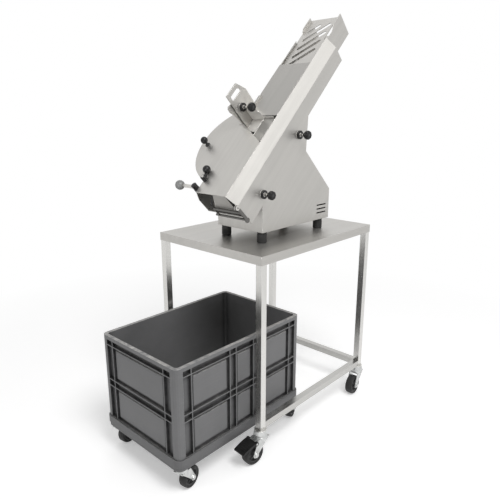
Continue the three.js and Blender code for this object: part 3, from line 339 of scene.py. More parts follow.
def moulded_plastic(
    name, colour, roughness, edge=0.0015, wear_and_highlight=1.25, edge_share=0.5, skin=0.25, dust=0.1, scuff=0.3,
    coat=0.0, corner_shade=0.0, reach=0.02, gloss=0.5,
):
    """Moulded plastic with a fine skin and scuffs, edges paler for wear and a painted highlight, up-facing
    faces paler for dust and painted top light, and painted shade in its corners where corner_shade is set.
    """
    constants = {"Coat_Weight": coat, "Coat_Roughness": 0.25, "Specular_IOR_Level": gloss}
    tree, shader, place = new_material(name, 0.0, **constants)
    moulded = group_node(tree, "Moulded skin", Vector=place, Grain=1300.0)
    edges = group_node(tree, "Edge wear and highlight", Vector=place, Width=edge)
    scuffs = group_node(tree, "Scuffs", Vector=place, Amount=scuff)["Mask"]
    dust_and_top_light = group_node(tree, "Settled dust and top light", Vector=place, Amount=dust)["Mask"]
    tone = mixed(tree, moulded["Tone"], shaded(colour, 0.92), shaded(colour, 1.08))
    scuffed = mixed(tree, times(tree, scuffs, 0.4), tone, shaded(colour, wear_and_highlight))
    # Edges paler: wear, and a painted highlight.
    edged = mixed(tree, times(tree, edges["Edge"], edge_share), scuffed, shaded(colour, wear_and_highlight * 1.1))
    # Up-facing faces go towards a pale grey: settled dust, and painted top light; the dust amount sets both.
    shown = mixed(tree, dust_and_top_light, edged, linear(188, 186, 182))
    # Painted shade: grooves and inner corners darken towards a tenth of the colour.
    if corner_shade:
        corners = group_node(tree, "Painted corner shade", Vector=place, Reach=reach, Amount=corner_shade)["Mask"]
        shown = mixed(tree, corners, shown, shaded(colour, 0.1))
    rough = plus(tree, roughness - 0.05, times(tree, moulded["Tone"], 0.08))
    rough = plus(tree, rough, times(tree, scuffs, 0.15), clamp=True)
    surface(tree, shader, shown, rough, moulded["Height"], skin, 0.0003, edges["Rounded"])


def tyre_rubber(name, colour):
    """Matt rubber with grey floor dust where it rolls."""
    tree, shader, place = new_material(name, 0.0)
    moulded = group_node(tree, "Moulded skin", Vector=place, Grain=900.0)
    patch = group_node(tree, "Cloudy wear", Vector=place, Patches=60.0)["Patch"]
    tone = mixed(tree, moulded["Tone"], shaded(colour, 0.8), shaded(colour, 1.2))
    dusty = mixed(tree, times(tree, patch, 0.18), tone, linear(92, 90, 87))
    surface(tree, shader, dusty, ranged(tree, patch, 0.0, 1.0, 0.55, 0.8), moulded["Height"], 0.3, 0.0004)


def ground_blade(name, colour, centre):
    """Blade steel, ground in rings around its axis."""
    tree, shader, place = new_material(name, 0.95)
    from_axis = vector_node(tree, "SUBTRACT", place, tuple(centre))
    turned = node(tree, "ShaderNodeMapping", {"Vector": from_axis, "Rotation": UP_SLOPE}).outputs["Vector"]
    reach = vector_node(tree, "LENGTH", vector_node(tree, "MULTIPLY", turned, (1.0, 1.0, 0.0)))
    settings = {"W": times(tree, reach, 900.0), "Scale": 1.0, "Detail": 3.0}
    rings = node(tree, "ShaderNodeTexNoise", settings, noise_dimensions="1D").outputs["Fac"]
    edge = group_node(tree, "Edge wear and highlight", Vector=place, Width=0.0008)["Edge"]
    tone = mixed(tree, rings, shaded(colour, 0.8), shaded(colour, 1.15))
    # Edges paler: wear, and a painted highlight.
    bright = mixed(tree, edge, tone, shaded(colour, 1.3))
    surface(tree, shader, bright, ranged(tree, rings, 0.3, 0.7, 0.22, 0.38), rings, 0.15, 0.0004)


def build_sheets(steel, rough):
    """Sheet, tube and bar in stainless steel, with darker copies of the steel for painted shade and a lighter
    one for painted light.
    """
    tube = {"grain": 0.4, "metallic": 0.97, "edge": 0.0009, "streak": 0.5}
    rail = linear(188, 187, 184)
    sheet_steel("Sheet brushed lengthwise", steel, rough)
    sheet_steel("Sheet brushed upright", steel, rough, UPRIGHT)
    sheet_steel("Sheet brushed up the slope", steel, rough, UP_SLOPE)
    # Painted shade: a darker copy of the steel for the chute tray; its wide edge mask also paints a highlight
    # along the fold.
    sheet_steel("Chute plate in painted shade", shaded(steel, 0.85), 0.35, UP_SLOPE, edge=0.003)
    # Painted shade: a darker copy of the steel for the upper level of the hold-down foot.
    sheet_steel("Foot plate in painted shade", shaded(steel, 0.72), 0.42, UP_SLOPE, grain=1.4, streak=1.6)
    # Painted light: a lighter, less metallic copy of the steel for the lower level and the end of the
    # hold-down foot.
    inner = shaded(steel, 1.45)
    sheet_steel("Foot plate in painted light", inner, 0.5, OVER_SLOPE, metallic=0.45, grain=1.2, streak=1.4)
    # Painted shade: a darker copy of the steel for the chute cover and the hold-down bracket.
    sheet_steel("Cover plate in painted shade", shaded(steel, 0.76), rough, UP_SLOPE)
    sheet_steel("Hold-down sheet", steel, 0.42, OVER_SLOPE, grain=1.4, streak=1.8)
    sheet_steel("Table top sheet", shaded(steel, 0.98), 0.38, grain=0.7, streak=0.9)
    sheet_steel("Leg tube", linear(212, 211, 208), 0.24, UPRIGHT, **tube)
    sheet_steel("Rail tube", rail, 0.27, **tube)
    sheet_steel("Cross rail tube", rail, 0.27, ACROSS, **tube)
    sheet_steel("Bright rod", shaded(steel, 1.12), 0.24, ACROSS, grain=0.25, edge=0.0006)
    sheet_steel("Darkened rod", shaded(steel, 0.3), 0.34, ACROSS, grain=0.4, edge=0.0006)


def build_plastics(crate):
    """Plastics and paint: the crate's and dolly's from the panel's colour, the others from the photo's."""
    # The crate's strong edge and dust masks paint a highlight on its rim and top light on its up-facing
    # faces, besides wear and dust; its corner shade paints shade in grooves and inside.
    moulded_plastic(
        "Crate plastic", crate + (1.0,), 0.46, edge=0.002, wear_and_highlight=2.35, edge_share=0.85, dust=0.85, scuff=0.1,
        corner_shade=1.0, reach=0.032,
    )
    # The dolly also gets painted shade in its grooves and a painted highlight on its edges, besides wear.
    moulded_plastic(
        "Dolly plastic", shaded(crate, 0.8), 0.5, edge=0.0025, wear_and_highlight=1.7, edge_share=0.7, dust=0.3, scuff=0.2,
        corner_shade=0.6, reach=0.02,
    )
    moulded_plastic(
        "Black grip plastic", linear(13, 13, 14), 0.36, edge=0.001, wear_and_highlight=2.2, edge_share=0.25, skin=0.12,
        dust=0.03, scuff=0.2, gloss=0.32,
    )
    centre = linear(44, 44, 45)
    moulded_plastic("Nylon wheel centre", centre, 0.45, edge=0.001, wear_and_highlight=1.8, edge_share=0.3, dust=0.1)
    moulded_plastic("Grey box plastic", linear(112, 114, 116), 0.5, edge=0.0015, wear_and_highlight=1.3, dust=0.08)
    ball = linear(120, 121, 120)
    moulded_plastic("Grey ball plastic", ball, 0.35, edge=0.001, wear_and_highlight=1.3, skin=0.08, dust=0.05)
    button = {"edge": 0.0008, "wear_and_highlight": 1.4, "skin": 0.06, "dust": 0.03, "coat": 0.4}
    moulded_plastic("Green button plastic", linear(31, 122, 58), 0.32, **button)
    moulded_plastic("Red button plastic", linear(176, 32, 28), 0.32, **button)
    moulded_plastic("Motor paint", linear(80, 85, 90), 0.42, edge=0.001, wear_and_highlight=1.5, skin=0.3, dust=0.15)


def build_finishes(looks):
    """Every finish of the slicer, the stand and the dolly."""
    build_sheets(tuple(looks.sheet_colour) + (1.0,), looks.sheet_roughness)
    plated_steel("Zinc pressing", tuple(looks.zinc_colour) + (1.0,), 0.26)
    plated_steel("Blackened steel", linear(58, 58, 58), 0.42, metallic=0.6)
    build_plastics(tuple(looks.crate_colour))
    tyre_rubber("Tyre rubber", linear(24, 24, 25))
    ground_blade("Ground blade steel", linear(205, 205, 203), JOINTS["blade_spin"]["pos_m"])


def dress(finish, *names):
    """Gives CAD nodes a finish."""
    for name in names:
        materials = frame["nodes"][name].data.materials
        materials.clear()
        materials.append(_materials[finish])


# Mesh helpers: each returns a bmesh in millimetres, in the piece's own axes


def around(steps):
    """The cosine and sine of each step of a full turn."""
    angles = [2 * math.pi * k / steps for k in range(steps)]
    return [(math.cos(angle), math.sin(angle)) for angle in angles]


def mirrored(half):
    """The lower half of a closed profile and the same points again above."""
    return half + [(radius, -height) for radius, height in reversed(half)]


def skin(shape, rings):
    """Joins each ring of vertices to the next one with quads."""
    for lower, upper in zip(rings, rings[1:]):
        for k in range(len(lower)):
            after = (k + 1) % len(lower)
            shape.faces.new([lower[k], lower[after], upper[after], upper[k]])


def closed(shape, rings):
    """Joins rings of vertices in a row and caps both ends."""
    skin(shape, rings)
    shape.faces.new(rings[0][::-1])
    shape.faces.new(rings[-1])
    return shape


def lifted(profile, rise):
    """The same profile, higher."""
    return [(radius, height + rise) for radius, height in profile]


def lathe(profile, steps=40, lobes=0, lobe_depth=0.0, lobe_range=(0.0, 0.0)):
    """Turns a list of (radius, height) about z. Lobes scallop the rings whose height is in lobe_range."""
    shape = bmesh.new()
    rings = []
    for radius, height in profile:
        if radius < 1e-6:
            rings.append([shape.verts.new((0, 0, height))])
            continue
        ring = []
        for k, (cosine, sine) in enumerate(around(steps)):
            reach = radius
            if lobes and lobe_range[0] <= height <= lobe_range[1]:
                reach -= lobe_depth * (0.5 - 0.5 * math.cos(lobes * 2 * math.pi * k / steps)) ** 1.5
            ring.append(shape.verts.new((reach * cosine, reach * sine, height)))
        rings.append(ring)
    for lower, upper in zip(rings, rings[1:]):
        for k in range(steps):
            corners = [lower[k % len(lower)], lower[(k + 1) % len(lower)]]
            corners += [upper[(k + 1) % len(upper)], upper[k % len(upper)]]
            corners = list(dict.fromkeys(corners))
            if len(corners) > 2:
                shape.faces.new(corners)
    return shape


def ring_lathe(profile, steps=40):
    """A closed ring: the profile's last point joins its first."""
    shape = bmesh.new()
    rings = [
        [shape.verts.new((radius * cosine, radius * sine, height)) for cosine, sine in around(steps)]
        for radius, height in profile
    ]
    skin(shape, rings + rings[:1])
    return shape


def slab(outline, low, high):
    """A closed outline in x and y, raised from low to high."""
    shape = bmesh.new()
    return closed(shape, [[shape.verts.new((x, y, z)) for x, y in outline] for z in (low, high)])


def brick(x0, x1, y0, y1, z0, z1):
    return slab([(x0, y0), (x1, y0), (x1, y1), (x0, y1)], z0, z1)


def swept(points, radius, steps=16):
    """A round bar along points."""
    shape = bmesh.new()
    path = [Vector(point) for point in points]
    rings = []
    for index, point in enumerate(path):
        ahead = (path[min(index + 1, len(path) - 1)] - path[max(index - 1, 0)]).normalized()
        side = (side - ahead * side.dot(ahead)).normalized() if rings else ahead.orthogonal().normalized()
        other = ahead.cross(side)
        rings.append([
            shape.verts.new(point + radius * (cosine * side + sine * other)) for cosine, sine in around(steps)
        ])
    return closed(shape, rings)


def ball_shape(radius, steps=32):
    angles = [math.pi * k / (steps // 2) for k in range(steps // 2 + 1)]
    profile = [(radius * math.sin(angle), -radius * math.cos(angle)) for angle in angles]
    profile[0] = (0, -radius)
    profile[-1] = (0, radius)
    return lathe(profile, steps)


def add_object(name, data):
    """Puts a mesh, lamp or camera in the scene."""
    made = bpy.data.objects.new(name, data)
    bpy.context.scene.collection.objects.link(made)
    return made


def mesh_from(name, shape, material):
    mesh = bpy.data.meshes.new(name)
    shape.to_mesh(mesh)
    shape.free()
    mesh.materials.append(material)
    return mesh


def piece(name, shape, matrix, finish, body, slot=None, soften=0.0, segments=3, smooth_angle=40):
    """Puts a bmesh in place as an object with a finish, riding on a body."""
    bmesh.ops.recalc_face_normals(shape, faces=shape.faces)
    mesh = mesh_from(name, shape, _materials[finish])
    mesh.transform(matrix)
    if matrix.determinant() < 0:
        mesh.flip_normals()
    for face in mesh.polygons:
        face.use_smooth = True
    mesh.set_sharp_from_angle(angle=math.radians(smooth_angle))
    made = add_object(name, mesh)
    if soften:
        edges = made.modifiers.new("Soft edges", "BEVEL")
        edges.width = soften * MM
        edges.segments = segments
        edges.limit_method = "ANGLE"
        edges.angle_limit = math.radians(30)
        edges.harden_normals = True
    slot = slot or SLOTS.get(finish, "stainless")
    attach(made, body)
    return made


# Panel settings

COLOUR = {"subtype": "COLOR", "size": 3, "min": 0, "max": 1}
LENGTH = {"unit": "LENGTH", "precision": 4}
PLACE = {"unit": "LENGTH"}
TURN = {"subtype": "ANGLE"}
POWER = {"unit": "POWER", "min": 0}


class SlicerLooks(bpy.types.PropertyGroup):
    """Colours and finishes of the sheet metal and plastics."""

    sheet_colour: bpy.props.FloatVectorProperty(
        name="Sheet steel", description="Colour of the brushed sheet steel",
        default=linear(190, 188, 184)[:3], **COLOUR,
    )
    sheet_roughness: bpy.props.FloatProperty(
        name="Sheet roughness", description="How dull the brushed sheet is", default=0.40, min=0.05, max=1,
        subtype="FACTOR",
    )
    zinc_colour: bpy.props.FloatVectorProperty(
        name="Zinc plating", description="Colour of the castor forks",
        default=linear(206, 207, 206)[:3], **COLOUR,
    )
    crate_colour: bpy.props.FloatVectorProperty(
        name="Crate plastic", description="Colour of the crate and the dolly",
        default=linear(112, 112, 113)[:3], **COLOUR,
    )


class SlicerSizes(bpy.types.PropertyGroup):
    """Sizes of the small parts that are added to the frame."""

    knob_radius: bpy.props.FloatProperty(
        name="Knob radius", description="Radius of the fluted grip knobs", default=0.0155, min=0.01, max=0.02,
        **LENGTH,
    )
    ball_radius: bpy.props.FloatProperty(
        name="Ball radius", description="Radius of the small cover ball", default=0.013, min=0.009, max=0.016,
        **LENGTH,
    )
    strap_length: bpy.props.FloatProperty(
        name="Strap length", description="How far the strap hangs in the mouth", default=0.036, min=0.01,
        max=0.06, **LENGTH,
    )


class SlicerStage(bpy.types.PropertyGroup):
    """Camera, lamps and floor."""

    focal_length: bpy.props.FloatProperty(
        name="Focal length", description="Lens of the view, in millimetres", default=36.1811, min=10, max=200
    )
    camera_x: bpy.props.FloatProperty(
        name="Camera x", description="Camera place from the table's near corner", default=-1.14566, **PLACE
    )
    camera_y: bpy.props.FloatProperty(
        name="Camera y", description="Camera place from the table's near corner", default=-1.00778, **PLACE
    )
    camera_height: bpy.props.FloatProperty(
        name="Camera height", description="Camera height over the floor", default=1.18285, **PLACE
    )
    camera_heading: bpy.props.FloatProperty(
        name="Camera heading", description="Direction of the view from the x axis", default=0.746, **TURN
    )
    camera_tilt: bpy.props.FloatProperty(
        name="Camera tilt", description="How far the view looks down", default=0.262, **TURN
    )
    key_power: bpy.props.FloatProperty(
        name="Key lamp", description="Power of the main lamp", default=72, **POWER
    )
    side_power: bpy.props.FloatProperty(
        name="Side lamp", description="Power of the lamp on the knob side", default=3, **POWER
    )
    low_power: bpy.props.FloatProperty(
        name="Outlet lamp", description="Power of the narrow lamp that looks into the outlet", default=260,
        **POWER,
    )
    back_power: bpy.props.FloatProperty(
        name="Back lamp", description="Power of the lamp behind the machine", default=3.2, **POWER
    )
    sky_level: bpy.props.FloatProperty(
        name="Sky level", description="Strength of the even light from around", default=0.40, min=0, max=2
    )
    floor_lift: bpy.props.FloatProperty(
        name="Floor whiteness", description="How much whiter the floor looks than its lit colour",
        default=0.36, min=0, max=1,
    )


# Operators


class SLICER_OT_stage(bpy.types.Operator):
    """Camera, lamps, sky and a pale floor that keeps the shadow"""

    bl_idname = "slicer.stage"
    bl_label = "Stage"

    def execute(self, context):
        stage = context.scene.slicer_stage
        self.camera(context, stage)
        self.lamp("key_lamp", (-0.8, -2.1, 3.4), (-0.1, 0.0, 0.4), 1.6, stage.key_power)
        self.lamp("side_lamp", (1.15, -2.15, 2.95), (0.1, 0.0, 0.8), 1.2, stage.side_power)
        self.outlet_spot(stage.low_power)
        self.lamp("back_lamp", (1.6, 1.8, 3.4), (0.0, 0.0, 0.9), 1.6, stage.back_power)
        self.sky(context, stage.sky_level)
        self.floor(stage.floor_lift)
        context.scene.view_settings.view_transform = "Standard"
        return {"FINISHED"}

    def camera(self, context, stage):
        lens = bpy.data.cameras.new("view_camera")
        lens.lens = stage.focal_length
        lens.sensor_width = 36
        lens.sensor_fit = "HORIZONTAL"
        lens.clip_end = 60
        camera = add_object("view_camera", lens)
        camera.location = (TABLE_LOW.x + stage.camera_x, TABLE_LOW.y + stage.camera_y, stage.camera_height)
        level, heading = math.cos(stage.camera_tilt), stage.camera_heading
        ahead = Vector((level * math.cos(heading), level * math.sin(heading), -math.sin(stage.camera_tilt)))
        camera.rotation_euler = ahead.to_track_quat("-Z", "Y").to_euler()
        context.scene.camera = camera

    def lamp(self, name, place, target, size, power):
        light = bpy.data.lights.new(name, "AREA")
        light.shape = "DISK"
        light.size = size
        self.hang(light, Vector(place), Vector(target), power)

    def outlet_spot(self, power):
        """A soft narrow lamp that looks into the outlet from the front."""
        light = bpy.data.lights.new("outlet_spot", "SPOT")
        light.spot_size = math.radians(9)
        light.spot_blend = 1.0
        light.shadow_soft_size = 0.2
        place = HOUSING + Vector((-2.3, -0.55, -0.35))
        self.hang(light, place, ON_SLOPE @ Vector((0, 112, 150)), power)

    def hang(self, light, place, target, power):
        """Puts a lamp at its place, aimed at its target."""
        light.energy = power
        lamp = add_object(light.name, light)
        lamp.location = place
        lamp.rotation_euler = (target - place).to_track_quat("-Z", "Y").to_euler()

    def sky(self, context, level):
        world = bpy.data.worlds.new("studio_sky")
        tree = cleared(world)
        strength = plus(tree, level, times(tree, seen_rays(tree), 1.0 - level))
        light = node(tree, "ShaderNodeBackground", {"Color": (1, 1, 1, 1), "Strength": strength})
        node(tree, "ShaderNodeOutputWorld", {"Surface": light.outputs["Background"]})
        context.scene.world = world

    def floor(self, lift):
        """A pale floor that fades into the white of the sky."""
        material = bpy.data.materials.new("Studio floor")
        tree = cleared(material)
        place = tree.nodes.new("ShaderNodeTexCoord").outputs["Object"]
        white, pale, paler = ((level, level, level, 1) for level in (1, 0.93, 0.95))
        look = {"Base Color": mixed(tree, noise(tree, place, 3.0, 3.0), pale, paler), "Roughness": 0.85}
        look["Specular IOR Level"] = 0.2
        matt = node(tree, "ShaderNodeBsdfPrincipled", look).outputs["BSDF"]
        seen = seen_rays(tree)
        horizon, glow = (
            node(tree, "ShaderNodeEmission", {"Color": white, "Strength": strength}).outputs["Emission"]
            for strength in (1.0, times(tree, seen, lift))
        )
        far = times(tree, ranged(tree, vector_node(tree, "LENGTH", place), 0.9, 2.2), seen)
        near = node(tree, "ShaderNodeAddShader", {0: matt, 1: glow}).outputs["Shader"]
        both = node(tree, "ShaderNodeMixShader", {0: far, 1: near, 2: horizon}).outputs["Shader"]
        node(tree, "ShaderNodeOutputMaterial", {"Surface": both})
        radius, height = 12, -0.0002
        shape = bmesh.new()
        shape.faces.new([shape.verts.new((radius * x, radius * y, height)) for x, y in around(64)])
        plane = add_object("studio_floor", mesh_from("studio_floor", shape, material))


class SLICER_OT_finishes(bpy.types.Operator):
    """Builds every finish from the panel's colours"""

    bl_idname = "slicer.finishes"
    bl_label = "Finishes"

    def execute(self, context):
        build_effects()
        build_finishes(context.scene.slicer_looks)
        return {"FINISHED"}


class SLICER_OT_stand(bpy.types.Operator):
    """Brushed table, legs and rails"""

    bl_idname = "slicer.stand"
    bl_label = "Stand"

    def execute(self, context):
        dress("Table top sheet", "tabletop")
        dress("Leg tube", *[f"leg_{corner}" for corner in STAND_CORNERS])
        dress("Rail tube", "lower_rail_near", "lower_rail_far")
        dress("Cross rail tube", "lower_rail_right")
        return {"FINISHED"}


def castor_frame(prefix, corner):
    """A castor's axes, z up its swivel from the floor and the wheel towards -x, its trail and its radius."""
    swivel = Vector(JOINTS[f"{prefix}_swivel_{corner}"]["pos_m"])
    centre = Vector(JOINTS[f"{prefix}_spin_{corner}"]["pos_m"])
    trail = Vector((centre.x - swivel.x, centre.y - swivel.y, 0))
    ahead = -trail.normalized()
    side = Vector((0, 0, 1)).cross(ahead)
    turned = Matrix((ahead, side, Vector((0, 0, 1)))).transposed().to_4x4()
    place = Matrix.Translation((swivel.x, swivel.y, 0)) @ turned @ Matrix.Scale(MM, 4)
    return place, trail.length / MM, centre.z / MM


class SLICER_OT_castors(bpy.types.Operator):
    """Tyres, wheel centres, bolts, ball races and brake pedals of the eight castors"""

    bl_idname = "slicer.castors"
    bl_label = "Castors"

    def execute(self, context):
        for corner in STAND_CORNERS:
            self.castor("castor", corner, width=30, head=25, crown=88, axle=6, nut=9)
            self.castor("dolly", corner, width=28, head=20, crown=80, axle=5, nut=8)
        for corner in ("near_left", "far_left"):
            self.pedal(corner)
        return {"FINISHED"}

    def castor(self, prefix, corner, width, head, crown, axle, nut):
        """One castor: its wheel's width, the radii of head, axle and nut, and the crown's height."""
        place, trail, radius = castor_frame(prefix, corner)
        fork = f"{prefix}_fork_{corner}"
        wheel = f"{prefix}_wheel_{corner}"
        dress("Zinc pressing", fork)
        on_axle = place @ Matrix.Translation((-trail, 0, radius)) @ AXIS_ALONG_Y
        side, bore, core = width / 2, radius * 0.74, radius * 0.3
        tyre = ring_lathe(mirrored([
            (bore, -side * 0.74), (radius * 0.86, -side * 0.9), (radius * 0.93, -side),
            (radius * 0.97, -side * 0.86), (radius * 0.992, -side * 0.62), (radius, -side * 0.3),
        ]), 56)
        rubber = piece(f"{wheel}_tyre", tyre, on_axle, "Tyre rubber", wheel)
        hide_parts(wheel)
        centre = ring_lathe(mirrored([
            (axle + 0.15, -side), (core * 0.8, -side), (core, -side * 0.92), (core * 1.08, -side * 0.45),
            (bore * 0.84, -side * 0.4), (bore * 0.9, -side * 0.8), (bore, -side * 0.8),
        ]), 48)
        piece(f"{wheel}_centre", centre, on_axle, "Nylon wheel centre", wheel)
        ribs = 8
        for k in range(ribs):
            rib = brick(core * 1.02, bore * 0.88, -1.2, 1.2, -side * 0.62, side * 0.62)
            spun = on_axle @ Matrix.Rotation(2 * math.pi * k / ribs, 4, "Z")
            piece(f"{wheel}_rib_{k}", rib, spun, "Nylon wheel centre", wheel, soften=0.5, segments=2)
        # Axle bolt and nut with washers on the fork's cheeks, past its gap of 2 mm and its sheet of 3 mm
        cheek = side + 2 + 3
        washer_profile = [(0, -0.2), (nut * 1.25, -0.2), (nut * 1.25, 0.9), (nut * 1.1, 1.1), (0, 1.1)]
        end_profile = [(0, 1), (axle * 0.82, 1), (axle * 0.82, 4.6), (axle * 0.6, 5.3), (0, 5.5)]
        for label, sign in (("bolt", -1), ("nut", 1)):
            seat = on_axle @ Matrix.Diagonal((1, 1, sign, 1))
            washer = lathe(lifted(washer_profile, cheek), 32)
            piece(f"{fork}_{label}_washer", washer, seat, "Zinc pressing", fork)
            piece(f"{fork}_{label}_end", lathe(lifted(end_profile, cheek), 20), seat, "Zinc pressing", fork)
        # Swivel head: ball race ring with a dust lip, and the king pin under the crown
        lip = [(head - 1.0, 3.2), (head + 0.2, 3.4), (head + 0.8, 5.4), (head + 0.2, 7.4), (head - 1.0, 7.6)]
        piece(f"{fork}_race", ring_lathe(lifted(lip, crown), 48), place, "Zinc pressing", fork)
        pin = lathe(lifted([(0, -3.2), (4, -3.0), (6.5, -1.4), (7, 0.4), (0, 0.4)], crown), 28)
        piece(f"{fork}_king_pin", pin, place, "Blackened steel", fork)

    def pedal(self, corner):
        """A brake pedal: a bent pad with treads, and an eye at each end of its barrel."""
        place, _, radius = castor_frame("castor", corner)
        name = f"castor_pedal_{corner}"
        barrel_x, barrel_z = -25 - 14, radius * 2 + 8 - 2
        reach, drop, knee, thick, half = 62, 20, 30, 6, 26
        tip_z = barrel_z - drop
        along = (barrel_x, barrel_x - knee, barrel_x - reach)
        above = (barrel_z + thick, barrel_z + thick / 2, tip_z + thick)
        below = (barrel_z - thick / 2, barrel_z - thick / 2, tip_z)

        def curve(share, heights):
            """A point of the bend from the barrel to the tip, in x and z."""
            weights = ((1 - share) ** 2, 2 * share * (1 - share), share ** 2)
            return [sum(weight * place for weight, place in zip(weights, line)) for line in (along, heights)]

        steps = 9
        section = [curve(k / steps, above) for k in range(steps + 1)]
        section += [curve(k / steps, below) for k in reversed(range(steps + 1))]
        shape = bmesh.new()
        closed(shape, [[shape.verts.new((x, y, z)) for x, z in section] for y in (-half, half)])
        pad = piece(f"{name}_pad", shape, place, "Black grip plastic", name, soften=1.6)
        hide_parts(name)
        for k in range(5):
            x, z = curve(0.45 + 0.12 * k, above)
            tread = swept([(x, -half + 5, z), (x, half - 5, z)], 1.1, 10)
            piece(f"{name}_tread_{k}", tread, place, "Black grip plastic", name)
        for label, y in (("near", 4 - half), ("far", half - 4)):
            eye = lathe(mirrored([(0, -4), (7.2, -4), (7.8, -3.2)]), 28)
            spot = place @ Matrix.Translation((barrel_x, y, barrel_z)) @ AXIS_ALONG_Y
            piece(f"{name}_eye_{label}", eye, spot, "Black grip plastic", name)


class SLICER_OT_crate(bpy.types.Operator):
    """Crate and dolly tray"""

    bl_idname = "slicer.crate"
    bl_label = "Crate and dolly"

    def execute(self, context):
        dress("Crate plastic", "crate")
        dress("Dolly plastic", "dolly_tray")
        low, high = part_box("crate")
        length, width = (high.x - low.x) / MM, (high.y - low.y) / MM
        half, end, gap, middle = length / 2, 70, 82, 32
        long_fields = ((end, half - gap), (half - middle, half + middle), (half + gap, length - end))
        short_fields = ((end, width - end),)
        # Where each side starts, its quarter turns from the near side, and its fields
        sides = (
            ("near", (0, 0, 0), 0, long_fields),
            ("far", (length, width, 0), 2, long_fields),
            ("right", (length, 0, 0), 1, short_fields),
            ("left", (0, width, 0), -1, short_fields),
        )
        corner = Matrix.Translation(low) @ Matrix.Scale(MM, 4)
        for side, start, quarters, fields in sides:
            place = corner @ Matrix.Translation(start) @ Matrix.Rotation(quarters * math.pi / 2, 4, "Z")
            for column, (x0, x1) in enumerate(fields):
                for row, (z0, z1) in enumerate(((18, 122), (168, 276))):
                    piece(
                        f"crate_{side}_panel_{column}_{row}", self.raised_panel(x0, x1, z0, z1), place,
                        "Crate plastic", "crate", soften=0.8, segments=2, smooth_angle=15,
                    )
        return {"FINISHED"}

    def raised_panel(self, x0, x1, z0, z1):
        """A flat field with drafted sides that stands out of the recess between the ribs; outside is -y."""
        shape = bmesh.new()
        rows = []
        for inset, depth in ((0, 10.6), (0, 9.6), (2.2, 5.2), (3.0, 4.8)):
            left, right, low, high = x0 + inset, x1 - inset, z0 + inset, z1 - inset
            corners = ((left, low), (right, low), (right, high), (left, high))
            rows.append([shape.verts.new((x, depth, z)) for x, z in corners])
        return closed(shape, rows)


def round_node(name, axis):
    """Where a round CAD node starts on its axis (1 for y, 2 for z), and its radius and length."""
    low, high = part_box(name)
    start = (low + high) / 2
    start[axis] = low[axis]
    return Matrix.Translation(start), (high.x - low.x) / 2 / MM, (high[axis] - low[axis]) / MM


class SLICER_OT_housing(bpy.types.Operator):
    """Sheet housing, base pan, feet, motor and switch box"""

    bl_idname = "slicer.housing"
    bl_label = "Housing"

    def execute(self, context):
        dress("Sheet brushed up the slope", "near_side_panel", "far_side_panel")
        dress("Sheet brushed upright", "front_panel", "rear_panel")
        dress("Sheet brushed lengthwise", "base_pan")
        dress("Motor paint", "motor")
        dress("Grey box plastic", "switch_box")
        for corner in STAND_CORNERS:
            self.foot(corner)
        for colour, name in (("Green", "start"), ("Red", "stop")):
            self.button(name, f"{colour} button plastic")
        return {"FINISHED"}

    def foot(self, corner):
        name = f"foot_{corner}"
        place, radius, height = round_node(name, 2)
        shape = lathe([
            (0, 0.6), (radius - 7, 0.6), (radius - 6, 0), (radius - 2.4, 0), (radius - 0.8, 1), (radius, 4),
            (radius, height - 9), (radius - 1.4, height - 7.5), (radius - 1.4, height - 6),
            (radius, height - 4.5), (radius, height - 0.8), (radius - 0.8, height), (0, height),
        ], 44)
        rubber = piece(f"{name}_rubber", shape, place @ Matrix.Scale(MM, 4), "Tyre rubber", "slicer")
        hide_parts(name)

    def button(self, name, finish):
        node_name = f"{name}_button"
        start, radius, length = round_node(node_name, 1)
        place = start @ AXIS_ALONG_Y @ Matrix.Scale(MM, 4)
        shape = lathe([
            (0, 0), (radius, 0), (radius, length - 1.6), (radius - 0.5, length - 0.6), (radius - 1.6, length),
            (radius - 4, length - 0.5), (0, length - 0.9),
        ], 40)
        cap = piece(f"{node_name}_cap", shape, place, finish, node_name, f"{name}_plastic")
        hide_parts(node_name)


